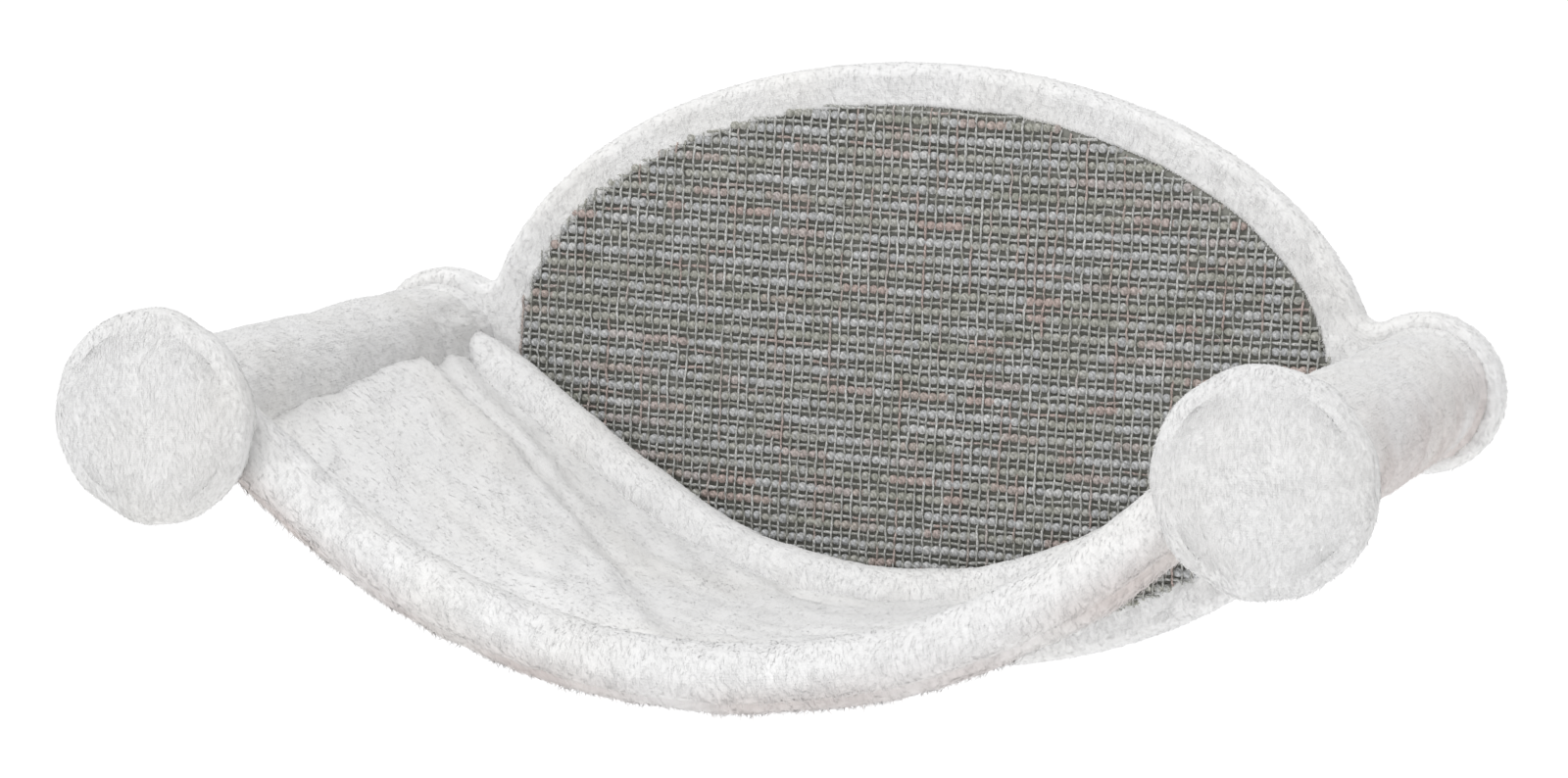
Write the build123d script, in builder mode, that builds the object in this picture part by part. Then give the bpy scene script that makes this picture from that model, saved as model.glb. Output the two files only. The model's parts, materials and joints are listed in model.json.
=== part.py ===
from build123d import *
import os
from math import asin, atan2, cos, degrees, radians, sin, tan

# Plush lounger for a cat that hangs on a wall: an oval board with a scratching mat,
# two posts that stand out of its ears, and a padded sling slung between the posts.
# Millimetres. +X is to the right, +Y into the wall and +Z up. The origin lies on the
# wall, midway between the two keyholes that the board hangs by.

# Board: an oval, with an ear at each end whose centre stands this far out past the oval
oval_width = 405.0
oval_height = 261.0
ear_offset = 24.0
ear_lip = 6.5
neck_round = 8.0
board_thickness = 12.0
board_edge_bevel = 1.5
cover_edge_round = 5.0

# Plush cloth, with its pile, and the hem where it is folded over and stapled down
plush = 4.5
hem_thickness = 1.5
hem_width = 15.0
pressed_plush = 1.5
soft_gap = 0.3

# Scratching mat in its window
rim_width = 18.0
mat_thickness = 3.7
mat_backing_thickness = 0.8
mat_edge_bevel = 1.0

# Posts, their plugs and the discs at their ends
overall_depth = 300.0
tube_radius = 24.5
tube_wall = 4.0
plug_length = 30.0
plug_gap = 0.1
plug_chamfer = 1.5
disc_lip = 14.5
disc_thickness = 8.0
disc_edge_bevel = 1.2
disc_cover_round = 4.5
disc_hem_width = 11.0
sleeve_thickness = 3.8
sleeve_gather = 0.8
sleeve_swells = 3

# Sling: how far its centre line hangs below the posts at the wall and at the front,
# and how much of the hang is one round arc before it runs straight to the posts
front_sag = 91.5
rear_sag = 100.0
front_arc_share = 0.90
rear_arc_share = 0.76
seam_lift = 11.0
roll_radius = 14.5
roll_cloth = 2.3
bed_top_thickness = 2.6
bed_wadding_thickness = 5.0
bed_under_thickness = 2.0
bed_slack = 0.75
crest_height = 7.0

# Screws, bolts and inserts
bolt_radius = 4.0
bolt_head_radius = 7.5
bolt_head_height = 3.0
bolt_socket_radius = 2.8
bolt_socket_depth = 1.8
bolt_socket_sides = 6
washer_radius = 11.0
washer_thickness = 1.5
bolt_reach = 18.0
insert_wall = 1.8
insert_length = 20.0
thread_gap = 0.1
stud_radius = 3.0
stud_reach = 17.0
nut_barrel_length = 6.5
nut_flange_radius = 9.0
nut_flange_thickness = 1.2
nail_radius = 0.9
nail_head_radius = 2.0
nail_head_height = 0.8
nail_length = 12.0
nails_per_plug = 3

# Keyhole plates that the board hangs by, in from the oval's ends and down from its top
keyhole_inset = 82.5
keyhole_drop = 80.5
keyhole_radius = 5.0
keyhole_slot_width = 5.5
keyhole_slot_rise = 9.0
plate_width = 30.0
plate_height = 46.0
plate_thickness = 2.0
plate_round = 4.0
plate_screw_spacing = 34.0
plate_screw_radius = 1.75
plate_screw_length = 10.0
screw_head_radius = 3.4
pocket_depth = 7.0
pocket_margin = 2.5

# Staples
staple_crown = 10.0
staple_leg = 6.0
staple_wire = 0.8
staple_sink = 0.3
arc_staples = 11
ear_staples = 5
disc_staple_count = 8

# One overrun for every cut that has to pass right through
overrun = 1.0

# Places worked out from the sizes above
half_spacing = oval_width / 2 + ear_offset
ear_radius = tube_radius + ear_lip
disc_radius = tube_radius + disc_lip
keyhole_spacing = oval_width - 2 * keyhole_inset
keyhole_rise = oval_height / 2 - keyhole_drop
post_z = -keyhole_rise
covered_disc = disc_radius + plush
sleeve_inner = tube_radius + soft_gap
sleeve_outer = sleeve_inner + sleeve_thickness

# Distances from the wall, out into the room
board_back = hem_thickness
board_front = board_back + board_thickness
cover_front = board_front + plush
mat_front = board_front + mat_backing_thickness + mat_thickness
tube_back = board_front + pressed_plush
disc_front = overall_depth - plush
disc_back = disc_front - disc_thickness
disc_hem_back = disc_back - hem_thickness
sleeve_back = cover_front + soft_gap
sleeve_front = disc_hem_back - soft_gap

mat_half_width = oval_width / 2 + plush - rim_width
mat_half_height = oval_height / 2 + plush - rim_width


def facing_room(distance, x=0.0, z=post_z):
    """A plane at this distance from the wall, seen from the room: +X right, +Z up."""
    return Plane((x, -distance, z), x_dir=(1, 0, 0), z_dir=(0, -1, 0))


def board_outline(grow):
    """An oval with a round ear at each end, grown evenly, with the necks rounded."""
    Ellipse(oval_width / 2 + grow, oval_height / 2 + grow)
    with Locations((-half_spacing, 0), (half_spacing, 0)):
        Circle(ear_radius + grow)
    necks = vertices().sort_by(lambda corner: abs(corner.X))[:4]
    fillet(necks, neck_round - grow)


# Board blank: the bare wood before any hole, which the plush is wrapped round
with BuildPart() as board_blank:
    with BuildSketch(facing_room(board_back)):
        board_outline(0)
    extrude(amount=board_thickness)
    rims = board_blank.edges().group_by(Axis.Y)
    chamfer(rims[0] + rims[-1], board_edge_bevel)

# Staple places round the board's hem and round a disc's hem: x, z and turn in degrees
board_staple_places = []
hem_half_width = oval_width / 2 - hem_width / 2
hem_half_height = oval_height / 2 - hem_width / 2
first_angle = asin((ear_radius + staple_crown / 2) / hem_half_height)
for i in range(arc_staples):
    angle = first_angle + (radians(180) - 2 * first_angle) * (i + 0.5) / arc_staples
    staple_x = hem_half_width * cos(angle)
    staple_z = hem_half_height * sin(angle)
    lean = degrees(atan2(hem_half_height * cos(angle), -hem_half_width * sin(angle)))
    board_staple_places.append((staple_x, staple_z, lean))
    board_staple_places.append((staple_x, -staple_z, -lean))
for side in (-1, 1):
    for i in range(ear_staples):
        angle = (i - (ear_staples - 1) / 2) * 180 / ear_staples
        reach = ear_radius - hem_width / 2
        staple_x = side * (half_spacing + reach * cos(radians(angle)))
        staple_z = reach * sin(radians(angle))
        board_staple_places.append((staple_x, staple_z, 90 + side * angle))
disc_staple_places = []
for i in range(disc_staple_count):
    angle = 360 * i / disc_staple_count
    reach = disc_radius - disc_hem_width / 2
    disc_staple_places.append((reach * cos(radians(angle)), reach * sin(radians(angle)), angle + 90))


def drive_staples(places, distance, centres=(0.0,)):
    """Staples with their crowns at this distance from the wall and their legs outward."""
    with BuildPart() as staples:
        for centre_x in centres:
            for x, z, turn in places:
                along = Vector(cos(radians(turn)), 0, sin(radians(turn)))
                across = along.cross(Vector(0, -1, 0))
                start = Vector(centre_x + x, -distance, post_z + z) - across * (staple_wire / 2)
                with BuildSketch(Plane(start, x_dir=along, z_dir=across)):
                    with Locations((0, staple_wire / 2)):
                        Rectangle(staple_crown, staple_wire)
                    with GridLocations(staple_crown - staple_wire, 0, 2, 1):
                        Rectangle(staple_wire, staple_leg, align=(Align.CENTER, Align.MIN))
                extrude(amount=staple_wire)
    return staples


cover_staples = drive_staples(board_staple_places, staple_sink)
cover_staples.part.label = "cover_staples"

# Keyhole plates, let into the board's back so that they lie flush with the hem
keyhole_places = [(-keyhole_spacing / 2, keyhole_rise), (keyhole_spacing / 2, keyhole_rise)]
screw_places = [(x, z + lift) for x, z in keyhole_places
                for lift in (-plate_screw_spacing / 2, plate_screw_spacing / 2)]

with BuildPart() as hanger_plates:
    with BuildSketch(facing_room(0)):
        with Locations(*keyhole_places):
            RectangleRounded(plate_width, plate_height, plate_round)
            Circle(keyhole_radius, mode=Mode.SUBTRACT)
        with Locations(*[(x, z + keyhole_slot_rise / 2) for x, z in keyhole_places]):
            Rectangle(keyhole_slot_width, keyhole_slot_rise, mode=Mode.SUBTRACT)
        with Locations(*[(x, z + keyhole_slot_rise) for x, z in keyhole_places]):
            Circle(keyhole_slot_width / 2, mode=Mode.SUBTRACT)
    extrude(amount=plate_thickness)
    with Locations(facing_room(0)):
        with Locations(*screw_places):
            Cone(screw_head_radius, plate_screw_radius, plate_thickness,
                 align=(Align.CENTER, Align.CENTER, Align.MIN), mode=Mode.SUBTRACT)
hanger_plates.part.label = "hanger_plates"

with BuildPart() as hanger_screws:
    with Locations(facing_room(0)):
        with Locations(*screw_places):
            Cone(screw_head_radius, plate_screw_radius, plate_thickness,
                 align=(Align.CENTER, Align.CENTER, Align.MIN))
    with Locations(facing_room(plate_thickness)):
        with Locations(*screw_places):
            Cylinder(plate_screw_radius, plate_screw_length - plate_thickness,
                     align=(Align.CENTER, Align.CENTER, Align.MIN))
hanger_screws.part.label = "hanger_screws"

# Back board
counterbore_depth = bolt_head_height + washer_thickness + soft_gap
post_centres = [(-half_spacing, 0), (half_spacing, 0)]

with BuildPart() as back_board:
    add(board_blank.part)
    with BuildSketch(facing_room(board_back)):
        with Locations(*post_centres):
            Circle(washer_radius + soft_gap)
    extrude(amount=counterbore_depth, mode=Mode.SUBTRACT)
    with BuildSketch(facing_room(board_back)):
        with Locations(*post_centres):
            Circle(bolt_radius + thread_gap)
    extrude(amount=board_thickness, mode=Mode.SUBTRACT)
    with BuildSketch(facing_room(0)):
        with Locations(*keyhole_places):
            RectangleRounded(plate_width, plate_height, plate_round)
    extrude(amount=plate_thickness, mode=Mode.SUBTRACT)
    with BuildSketch(facing_room(plate_thickness)):
        with Locations(*[(x, z + keyhole_slot_rise / 2) for x, z in keyhole_places]):
            SlotCenterToCenter(keyhole_slot_rise, 2 * (keyhole_radius + pocket_margin), rotation=90)
    extrude(amount=pocket_depth, mode=Mode.SUBTRACT)
    add(hanger_screws.part, mode=Mode.SUBTRACT)
    add(cover_staples.part, mode=Mode.SUBTRACT)
back_board.part.label = "back_board"

# Plush cover: wrapped round the board's rim, open at the mat and inside its stapled hem
with BuildPart() as board_cover:
    with BuildSketch(facing_room(0)):
        board_outline(plush)
    extrude(amount=cover_front)
    rims = board_cover.edges().group_by(Axis.Y)
    fillet(rims[0], cover_edge_round)
    rims = board_cover.edges().group_by(Axis.Y)
    chamfer(rims[-1], board_edge_bevel + hem_thickness)
    add(board_blank.part, mode=Mode.SUBTRACT)
    with BuildSketch(facing_room(board_front)):
        Ellipse(mat_half_width + soft_gap, mat_half_height + soft_gap)
    extrude(amount=plush + overrun, mode=Mode.SUBTRACT)
    with BuildSketch(facing_room(-overrun)):
        Ellipse(oval_width / 2 - hem_width, oval_height / 2 - hem_width)
        SlotCenterToCenter(2 * half_spacing, 2 * (ear_radius - hem_width))
    extrude(amount=hem_thickness + overrun, mode=Mode.SUBTRACT)
    with BuildSketch(facing_room(tube_back)):
        with Locations(*post_centres):
            Circle(tube_radius + soft_gap)
    extrude(amount=plush + overrun, mode=Mode.SUBTRACT)
    with BuildSketch(facing_room(board_front - overrun)):
        with Locations(*post_centres):
            Circle(bolt_radius + thread_gap)
    extrude(amount=plush + overrun, mode=Mode.SUBTRACT)
    add(cover_staples.part, mode=Mode.SUBTRACT)
board_cover.part.label = "board_cover"

# Scratching mat on its backing
with BuildPart() as mat_backing:
    with BuildSketch(facing_room(board_front)):
        Ellipse(mat_half_width, mat_half_height)
    extrude(amount=mat_backing_thickness)
mat_backing.part.label = "mat_backing"

with BuildPart() as scratch_mat:
    with BuildSketch(facing_room(board_front + mat_backing_thickness)):
        Ellipse(mat_half_width, mat_half_height)
    extrude(amount=mat_thickness)
    chamfer(scratch_mat.edges().group_by(Axis.Y)[0], mat_edge_bevel)
scratch_mat.part.label = "scratch_mat"

# Bolts that hold the posts to the board, with their washers and the inserts in the plugs
washer_back = board_back + counterbore_depth - washer_thickness
insert_radius = bolt_radius + thread_gap + insert_wall

with BuildPart() as post_bolts:
    with BuildSketch(facing_room(washer_back - bolt_head_height)):
        with Locations(*post_centres):
            Circle(bolt_head_radius)
    extrude(amount=bolt_head_height)
    fillet(post_bolts.edges().group_by(Axis.Y)[-1], bolt_head_height / 2)
    with BuildSketch(facing_room(washer_back)):
        with Locations(*post_centres):
            Circle(bolt_radius)
    extrude(amount=tube_back + bolt_reach - washer_back)
    with BuildSketch(facing_room(washer_back - bolt_head_height)):
        with Locations(*post_centres):
            RegularPolygon(bolt_socket_radius, bolt_socket_sides)
    extrude(amount=bolt_socket_depth, mode=Mode.SUBTRACT)
post_bolts.part.label = "post_bolts"

with BuildPart() as post_washers:
    with BuildSketch(facing_room(washer_back)):
        with Locations(*post_centres):
            Circle(washer_radius)
            Circle(bolt_radius + thread_gap, mode=Mode.SUBTRACT)
    extrude(amount=washer_thickness)
post_washers.part.label = "post_washers"

with BuildPart() as plug_inserts:
    with BuildSketch(facing_room(tube_back)):
        with Locations(*post_centres):
            Circle(insert_radius)
            Circle(bolt_radius + thread_gap, mode=Mode.SUBTRACT)
    extrude(amount=insert_length)
plug_inserts.part.label = "plug_inserts"

# Studs that the end discs screw on by, with their inserts and the flanged nuts in the discs
stud_insert_radius = stud_radius + thread_gap + insert_wall

with BuildPart() as stud_inserts:
    with BuildSketch(facing_room(disc_back - insert_length)):
        with Locations(*post_centres):
            Circle(stud_insert_radius)
            Circle(stud_radius + thread_gap, mode=Mode.SUBTRACT)
    extrude(amount=insert_length)
stud_inserts.part.label = "stud_inserts"

with BuildPart() as disc_nuts:
    with BuildSketch(facing_room(disc_front - nut_flange_thickness)):
        with Locations(*post_centres):
            Circle(nut_flange_radius)
    extrude(amount=nut_flange_thickness)
    with BuildSketch(facing_room(disc_front - nut_barrel_length)):
        with Locations(*post_centres):
            Circle(stud_insert_radius)
    extrude(amount=nut_barrel_length)
    with BuildSketch(facing_room(disc_front - nut_barrel_length)):
        with Locations(*post_centres):
            Circle(stud_radius + thread_gap)
    extrude(amount=nut_barrel_length, mode=Mode.SUBTRACT)
disc_nuts.part.label = "disc_nuts"

with BuildPart() as disc_studs:
    with BuildSketch(facing_room(disc_back - stud_reach)):
        with Locations(*post_centres):
            Circle(stud_radius)
    extrude(amount=stud_reach + disc_thickness - soft_gap)
disc_studs.part.label = "disc_studs"

# Nails that hold each plug in its tube, driven in from the side with sunk heads
plug_middles = (tube_back + plug_length / 2, disc_back - plug_length / 2)

with BuildPart() as plug_nails:
    for side in (-1, 1):
        for distance in plug_middles:
            for i in range(nails_per_plug):
                angle = radians(90 + 360 * i / nails_per_plug)
                inward = Vector(-cos(angle), 0, -sin(angle))
                head = Vector(side * half_spacing, -distance, post_z) - inward * (tube_radius - thread_gap)
                with BuildSketch(Plane(head, x_dir=(0, 1, 0), z_dir=inward)):
                    Circle(nail_head_radius)
                extrude(amount=nail_head_height)
                with BuildSketch(Plane(head, x_dir=(0, 1, 0), z_dir=inward)):
                    Circle(nail_radius)
                extrude(amount=nail_length)
plug_nails.part.label = "plug_nails"

disc_staples = drive_staples(disc_staple_places, disc_hem_back + staple_sink,
                             (-half_spacing, half_spacing))
disc_staples.part.label = "disc_staples"


def make_post(side):
    """The tube, plugs, end disc, disc cover and sleeve of the post on this side."""
    x = side * half_spacing
    with BuildPart() as post_tube:
        with BuildSketch(facing_room(tube_back, x)):
            Circle(tube_radius)
            Circle(tube_radius - tube_wall, mode=Mode.SUBTRACT)
        extrude(amount=disc_back - tube_back)
        add(plug_nails.part, mode=Mode.SUBTRACT)

    with BuildPart() as rear_plug:
        with BuildSketch(facing_room(tube_back, x)):
            Circle(tube_radius - tube_wall - plug_gap)
        extrude(amount=plug_length)
        chamfer(rear_plug.edges().group_by(Axis.Y)[0], plug_chamfer)
        with BuildSketch(facing_room(tube_back, x)):
            Circle(insert_radius)
        extrude(amount=insert_length, mode=Mode.SUBTRACT)
        add(plug_nails.part, mode=Mode.SUBTRACT)

    with BuildPart() as front_plug:
        with BuildSketch(facing_room(disc_back - plug_length, x)):
            Circle(tube_radius - tube_wall - plug_gap)
        extrude(amount=plug_length)
        chamfer(front_plug.edges().group_by(Axis.Y)[-1], plug_chamfer)
        with BuildSketch(facing_room(disc_back - insert_length, x)):
            Circle(stud_insert_radius)
        extrude(amount=insert_length, mode=Mode.SUBTRACT)
        add(plug_nails.part, mode=Mode.SUBTRACT)

    with BuildPart() as disc_blank:
        with BuildSketch(facing_room(disc_back, x)):
            Circle(disc_radius)
        extrude(amount=disc_thickness)
        chamfer(disc_blank.edges().filter_by(GeomType.CIRCLE), disc_edge_bevel)

    with BuildPart() as end_disc:
        add(disc_blank.part)
        with BuildSketch(facing_room(disc_front - nut_flange_thickness, x)):
            Circle(nut_flange_radius)
        extrude(amount=nut_flange_thickness, mode=Mode.SUBTRACT)
        with BuildSketch(facing_room(disc_back, x)):
            Circle(stud_insert_radius)
        extrude(amount=disc_thickness, mode=Mode.SUBTRACT)
        add(disc_staples.part, mode=Mode.SUBTRACT)

    with BuildPart() as disc_cover:
        with BuildSketch(facing_room(disc_hem_back, x)):
            Circle(covered_disc)
        extrude(amount=overall_depth - disc_hem_back)
        fillet(disc_cover.edges().group_by(Axis.Y)[0], disc_cover_round)
        chamfer(disc_cover.edges().group_by(Axis.Y)[-1], disc_edge_bevel + hem_thickness)
        add(disc_blank.part, mode=Mode.SUBTRACT)
        with BuildSketch(facing_room(disc_hem_back - overrun, x)):
            Circle(disc_radius - disc_hem_width)
        extrude(amount=hem_thickness + overrun, mode=Mode.SUBTRACT)
        add(disc_staples.part, mode=Mode.SUBTRACT)

    # The sleeve is gathered a little between its two ends, in shallow swells
    swell = (sleeve_front - sleeve_back) / sleeve_swells
    with BuildPart() as sleeve:
        with BuildSketch(Plane((x, 0, post_z), x_dir=(1, 0, 0), z_dir=(0, 0, 1))):
            with BuildLine():
                inner = Line((sleeve_inner, -sleeve_front), (sleeve_inner, -sleeve_back))
                Line(inner @ 1, (sleeve_outer - sleeve_gather, -sleeve_back))
                for i in range(sleeve_swells):
                    near = -sleeve_back - swell * i
                    ThreePointArc((sleeve_outer - sleeve_gather, near),
                                  (sleeve_outer, near - swell / 2),
                                  (sleeve_outer - sleeve_gather, near - swell))
                Line((sleeve_outer - sleeve_gather, -sleeve_front), inner @ 0)
            make_face()
        revolve(axis=Axis((x, 0, post_z), (0, 1, 0)))
    return {
        "post_tube": post_tube, "rear_plug": rear_plug, "front_plug": front_plug,
        "end_disc": end_disc, "disc_cover": disc_cover, "sleeve": sleeve,
    }


# The sling hangs like a rope: a round arc at the bottom that runs out into two straight
# sides, which end at the foot of a perpendicular from each post's axis.
class Hang:
    def __init__(self, sag, arc_share):
        self.sag = sag
        self.slope = arc_share * 2 * atan2(sag, half_spacing)
        self.end_x = half_spacing - seam_lift * sin(self.slope)
        self.end_z = seam_lift * cos(self.slope)
        fall = self.end_x * tan(self.slope) - (sag + self.end_z)
        self.radius = fall / (sin(self.slope) * tan(self.slope) - (1 - cos(self.slope)))
        self.arc_x = self.radius * sin(self.slope)
        self.arc_z = -sag + self.radius * (1 - cos(self.slope))

    def point(self, share, lift=0.0):
        """Where the line is at this share of its half width, lifted square to itself."""
        x = share * self.end_x
        if abs(x) < self.arc_x:
            lean = asin(x / self.radius)
            z = -self.sag + self.radius * (1 - cos(lean))
        else:
            lean = self.slope if x > 0 else -self.slope
            z = self.end_z - (self.end_x - abs(x)) * tan(self.slope)
        return x - lift * sin(lean), z + lift * cos(lean)


front_hang = Hang(front_sag, front_arc_share)
rear_hang = Hang(rear_sag, rear_arc_share)
rear_roll_centre = max(cover_front, mat_front) + soft_gap + roll_radius
front_roll_centre = disc_hem_back - soft_gap - roll_radius
bed_back = rear_roll_centre + roll_radius + soft_gap
bed_front = front_roll_centre - roll_radius - soft_gap


# Room that the sling's pieces leave for the two sleeves
with BuildPart() as sleeve_room:
    with BuildSketch(facing_room(cover_front)):
        with Locations(*post_centres):
            Circle(sleeve_outer + soft_gap)
    extrude(amount=overall_depth)


def make_roll(hang, centre, outer, inner):
    """A roll along the sling's edge, from post to post; inner is 0 for a solid one."""
    with BuildPart() as roll:
        with BuildLine(facing_room(centre)) as run:
            Line((-hang.end_x, hang.end_z), (-hang.arc_x, hang.arc_z))
            ThreePointArc((-hang.arc_x, hang.arc_z), (0, -hang.sag), (hang.arc_x, hang.arc_z))
            Line((hang.arc_x, hang.arc_z), (hang.end_x, hang.end_z))
        path = run.wires()[0]
        with BuildSketch(Plane(origin=path @ 0, z_dir=path % 0)):
            Circle(outer)
            if inner > 0:
                Circle(inner, mode=Mode.SUBTRACT)
        sweep(path=path)
        add(sleeve_room.part, mode=Mode.SUBTRACT)
    return roll


filling_radius = roll_radius - roll_cloth - soft_gap

# Bed: three layers that hang alike between the rolls. On each side a wide panel stands high
# in front of a crest, which starts at the post near the wall and runs down to the middle of
# the front roll. Behind the crest the bed falls steeply to its foot. The first line gives
# the stations from the rear roll to the front one, and the next three hold at each station.
station_shares = (0.0, 0.18, 0.26, 0.34, 0.45, 0.58, 0.72, 0.86, 1.0)
crest_shares = (0.90, 0.90, 0.87, 0.64, 0.50, 0.40, 0.31, 0.23, 0.15)
foot_shares = (0.80, 0.80, 0.78, 0.55, 0.42, 0.32, 0.23, 0.15, 0.07)
height_shares = (0.0, 0.0, 0.75, 1.0, 1.0, 1.0, 1.0, 0.9, 0.0)

# How high the panel still stands at even steps from the crest out to the post
panel_shares = (1.0, 0.85, 0.5, 0.15)


def bed_face(hang, crest_share, foot_share, height, lift):
    """Points along one face of a bed layer, from the left post to the right one."""
    places = [hang.point(0.0, lift - bed_slack), hang.point(foot_share, lift)]
    for i, panel_share in enumerate(panel_shares):
        out_share = i / (len(panel_shares) - 1)
        share = crest_share + (1 - crest_share) * out_share
        places.append(hang.point(share, lift + height * panel_share))
    return [(-x, z) for x, z in reversed(places[1:])] + places


def make_bed_layer(upper, lower):
    with BuildPart() as layer:
        for station, crest_share, foot_share, height_share in zip(
                station_shares, crest_shares, foot_shares, height_shares):
            distance = bed_back + (bed_front - bed_back) * station
            sag = rear_sag + (front_sag - rear_sag) * station
            hang = Hang(sag, rear_arc_share + (front_arc_share - rear_arc_share) * station)
            height = crest_height * height_share
            with BuildSketch(facing_room(distance)):
                with BuildLine():
                    top = Spline(*bed_face(hang, crest_share, foot_share, height, upper))
                    bottom = Spline(*bed_face(hang, crest_share, foot_share, height, lower))
                    Line(top @ 0, bottom @ 0)
                    Line(top @ 1, bottom @ 1)
                make_face()
        loft(ruled=True)
        add(sleeve_room.part, mode=Mode.SUBTRACT)
    return layer


wadding_top = bed_wadding_thickness / 2
wadding_bottom = -wadding_top

sling = {
    "front_roll_cover": make_roll(front_hang, front_roll_centre, roll_radius, roll_radius - roll_cloth),
    "front_roll_filling": make_roll(front_hang, front_roll_centre, filling_radius, 0),
    "rear_roll_cover": make_roll(rear_hang, rear_roll_centre, roll_radius, roll_radius - roll_cloth),
    "rear_roll_filling": make_roll(rear_hang, rear_roll_centre, filling_radius, 0),
    "bed_top_cloth": make_bed_layer(wadding_top + soft_gap + bed_top_thickness, wadding_top + soft_gap),
    "bed_wadding": make_bed_layer(wadding_top, wadding_bottom),
    "bed_under_cloth": make_bed_layer(wadding_bottom - soft_gap,
                                      wadding_bottom - soft_gap - bed_under_thickness),
}

# Everything is written as one file for each piece
os.makedirs("parts", exist_ok=True)
for piece in (back_board, board_cover, scratch_mat, mat_backing, hanger_plates, hanger_screws,
              cover_staples, post_bolts, post_washers, plug_inserts, stud_inserts, disc_nuts,
              disc_studs, plug_nails, disc_staples):
    export_step(piece.part, f"parts/{piece.part.label}.step")
for side_name, side in (("left", -1), ("right", 1)):
    for piece_name, piece in make_post(side).items():
        piece.part.label = f"{side_name}_{piece_name}"
        export_step(piece.part, f"parts/{piece.part.label}.step")
for piece_name, piece in sling.items():
    piece.part.label = piece_name
    export_step(piece.part, f"parts/{piece_name}.step")

print("front hang radius", round(front_hang.radius, 1), "rear hang radius", round(rear_hang.radius, 1))
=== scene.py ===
import bpy
import json
import math
import numpy as np
from mathutils import Matrix, Vector


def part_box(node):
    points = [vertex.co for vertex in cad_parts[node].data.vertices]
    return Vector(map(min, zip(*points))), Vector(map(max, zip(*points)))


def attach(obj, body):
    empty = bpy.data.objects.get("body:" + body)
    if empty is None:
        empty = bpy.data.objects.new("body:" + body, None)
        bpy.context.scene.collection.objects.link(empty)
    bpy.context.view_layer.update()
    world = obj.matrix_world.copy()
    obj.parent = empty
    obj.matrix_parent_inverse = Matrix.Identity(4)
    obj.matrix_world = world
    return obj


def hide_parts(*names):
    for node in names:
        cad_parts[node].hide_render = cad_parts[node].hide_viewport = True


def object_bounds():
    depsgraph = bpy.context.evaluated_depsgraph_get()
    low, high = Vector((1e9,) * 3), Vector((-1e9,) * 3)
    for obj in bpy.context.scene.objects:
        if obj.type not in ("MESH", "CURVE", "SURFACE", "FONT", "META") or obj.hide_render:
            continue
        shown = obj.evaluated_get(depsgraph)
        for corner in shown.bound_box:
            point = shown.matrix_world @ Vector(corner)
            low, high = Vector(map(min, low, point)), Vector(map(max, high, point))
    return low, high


# Plush lounger on its wall board. Metres, +X right, +Y into the wall, +Z up.
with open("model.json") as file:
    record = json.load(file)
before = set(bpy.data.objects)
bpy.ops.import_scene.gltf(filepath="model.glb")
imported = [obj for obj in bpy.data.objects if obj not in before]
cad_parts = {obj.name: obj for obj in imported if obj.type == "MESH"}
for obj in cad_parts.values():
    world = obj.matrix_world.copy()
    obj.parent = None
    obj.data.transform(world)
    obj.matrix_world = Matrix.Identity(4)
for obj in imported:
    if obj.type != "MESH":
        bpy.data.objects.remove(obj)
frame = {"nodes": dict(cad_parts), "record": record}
cadBox = [list(corner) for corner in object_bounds()]
nodes = frame["nodes"]
mm = 0.001


# The low and the high corner of a CAD node's box.
def nodeBox(name):
    low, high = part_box(name)
    return np.array(low), np.array(high)


# Sizes that the pieces share, read off the CAD nodes
coverLow, coverHigh = nodeBox("board_cover")
matLow, matHigh = nodeBox("scratch_mat")
discLow, discHigh = nodeBox("right_disc_cover")
sleeveLow, sleeveHigh = nodeBox("right_sleeve")
frontRollLow, frontRollHigh = nodeBox("front_roll_cover")
rearRollLow, rearRollHigh = nodeBox("rear_roll_cover")
bedLow, bedHigh = nodeBox("bed_top_cloth")

postZ = (sleeveLow[2] + sleeveHigh[2]) / 2
postX = (sleeveLow[0] + sleeveHigh[0]) / 2
sleeveRadius = (sleeveHigh[0] - sleeveLow[0]) / 2
discRadius = (discHigh[0] - discLow[0]) / 2
rollRadius = (frontRollHigh[1] - frontRollLow[1]) / 2
pileDepth = 1.6 * mm  # from a CAD surface in to the cloth that the pile stands on
quadSteps = ((0, 0), (0, 1), (1, 1), (1, 0))  # a quad's corners on a grid, rows first


# A smooth random field from about -1 to 1: sines along random directions, summed, with
# wavelengths about the pitch, over the sum's usual height.
def waves(points, pitch, seed, count=14, pitchShares=(0.7, 1.6), usualHeight=1.6):
    rng = np.random.default_rng(seed)
    directions = rng.normal(size=(count, 3))
    directions /= np.linalg.norm(directions, axis=1)[:, None]
    numbers = 2 * np.pi / (pitch * rng.uniform(*pitchShares, count))
    phases = rng.uniform(0, 2 * np.pi, count)
    total = np.sin(points @ (directions * numbers[:, None]).T + phases).sum(-1)
    return total / math.sqrt(count / 2) / usualHeight


# Three of those fields as one vector field.
def waveVectors(points, pitch, seed):
    return np.stack([waves(points, pitch, seed + 101 * k) for k in range(3)], -1)


# Each vector over its length.
def unit(vectors):
    return vectors / np.maximum(np.linalg.norm(vectors, axis=-1, keepdims=True), 1e-12)


# Vectors less their part along unit normals.
def flattened(vectors, normals):
    return vectors - normals * np.einsum("ij,ij->i", vectors, normals)[:, None]


# From 0 at low to 1 at high, level at both: share * share * (3 - 2 * share).
def smoothStep(value, low, high):
    share = np.clip((value - low) / (high - low), 0, 1)
    return share * share * (3 - 2 * share)


# A bell of height 1: exp(-(distance / width) ** 2).
def bell(distance, width):
    return np.exp(-(distance / width) ** 2)


# The same angle between -pi and pi.
def wrapped(angle):
    return np.angle(np.exp(1j * angle))


# Angles at even steps round a full turn.
def fullTurn(count):
    return np.arange(count) / count * 2 * np.pi


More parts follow.
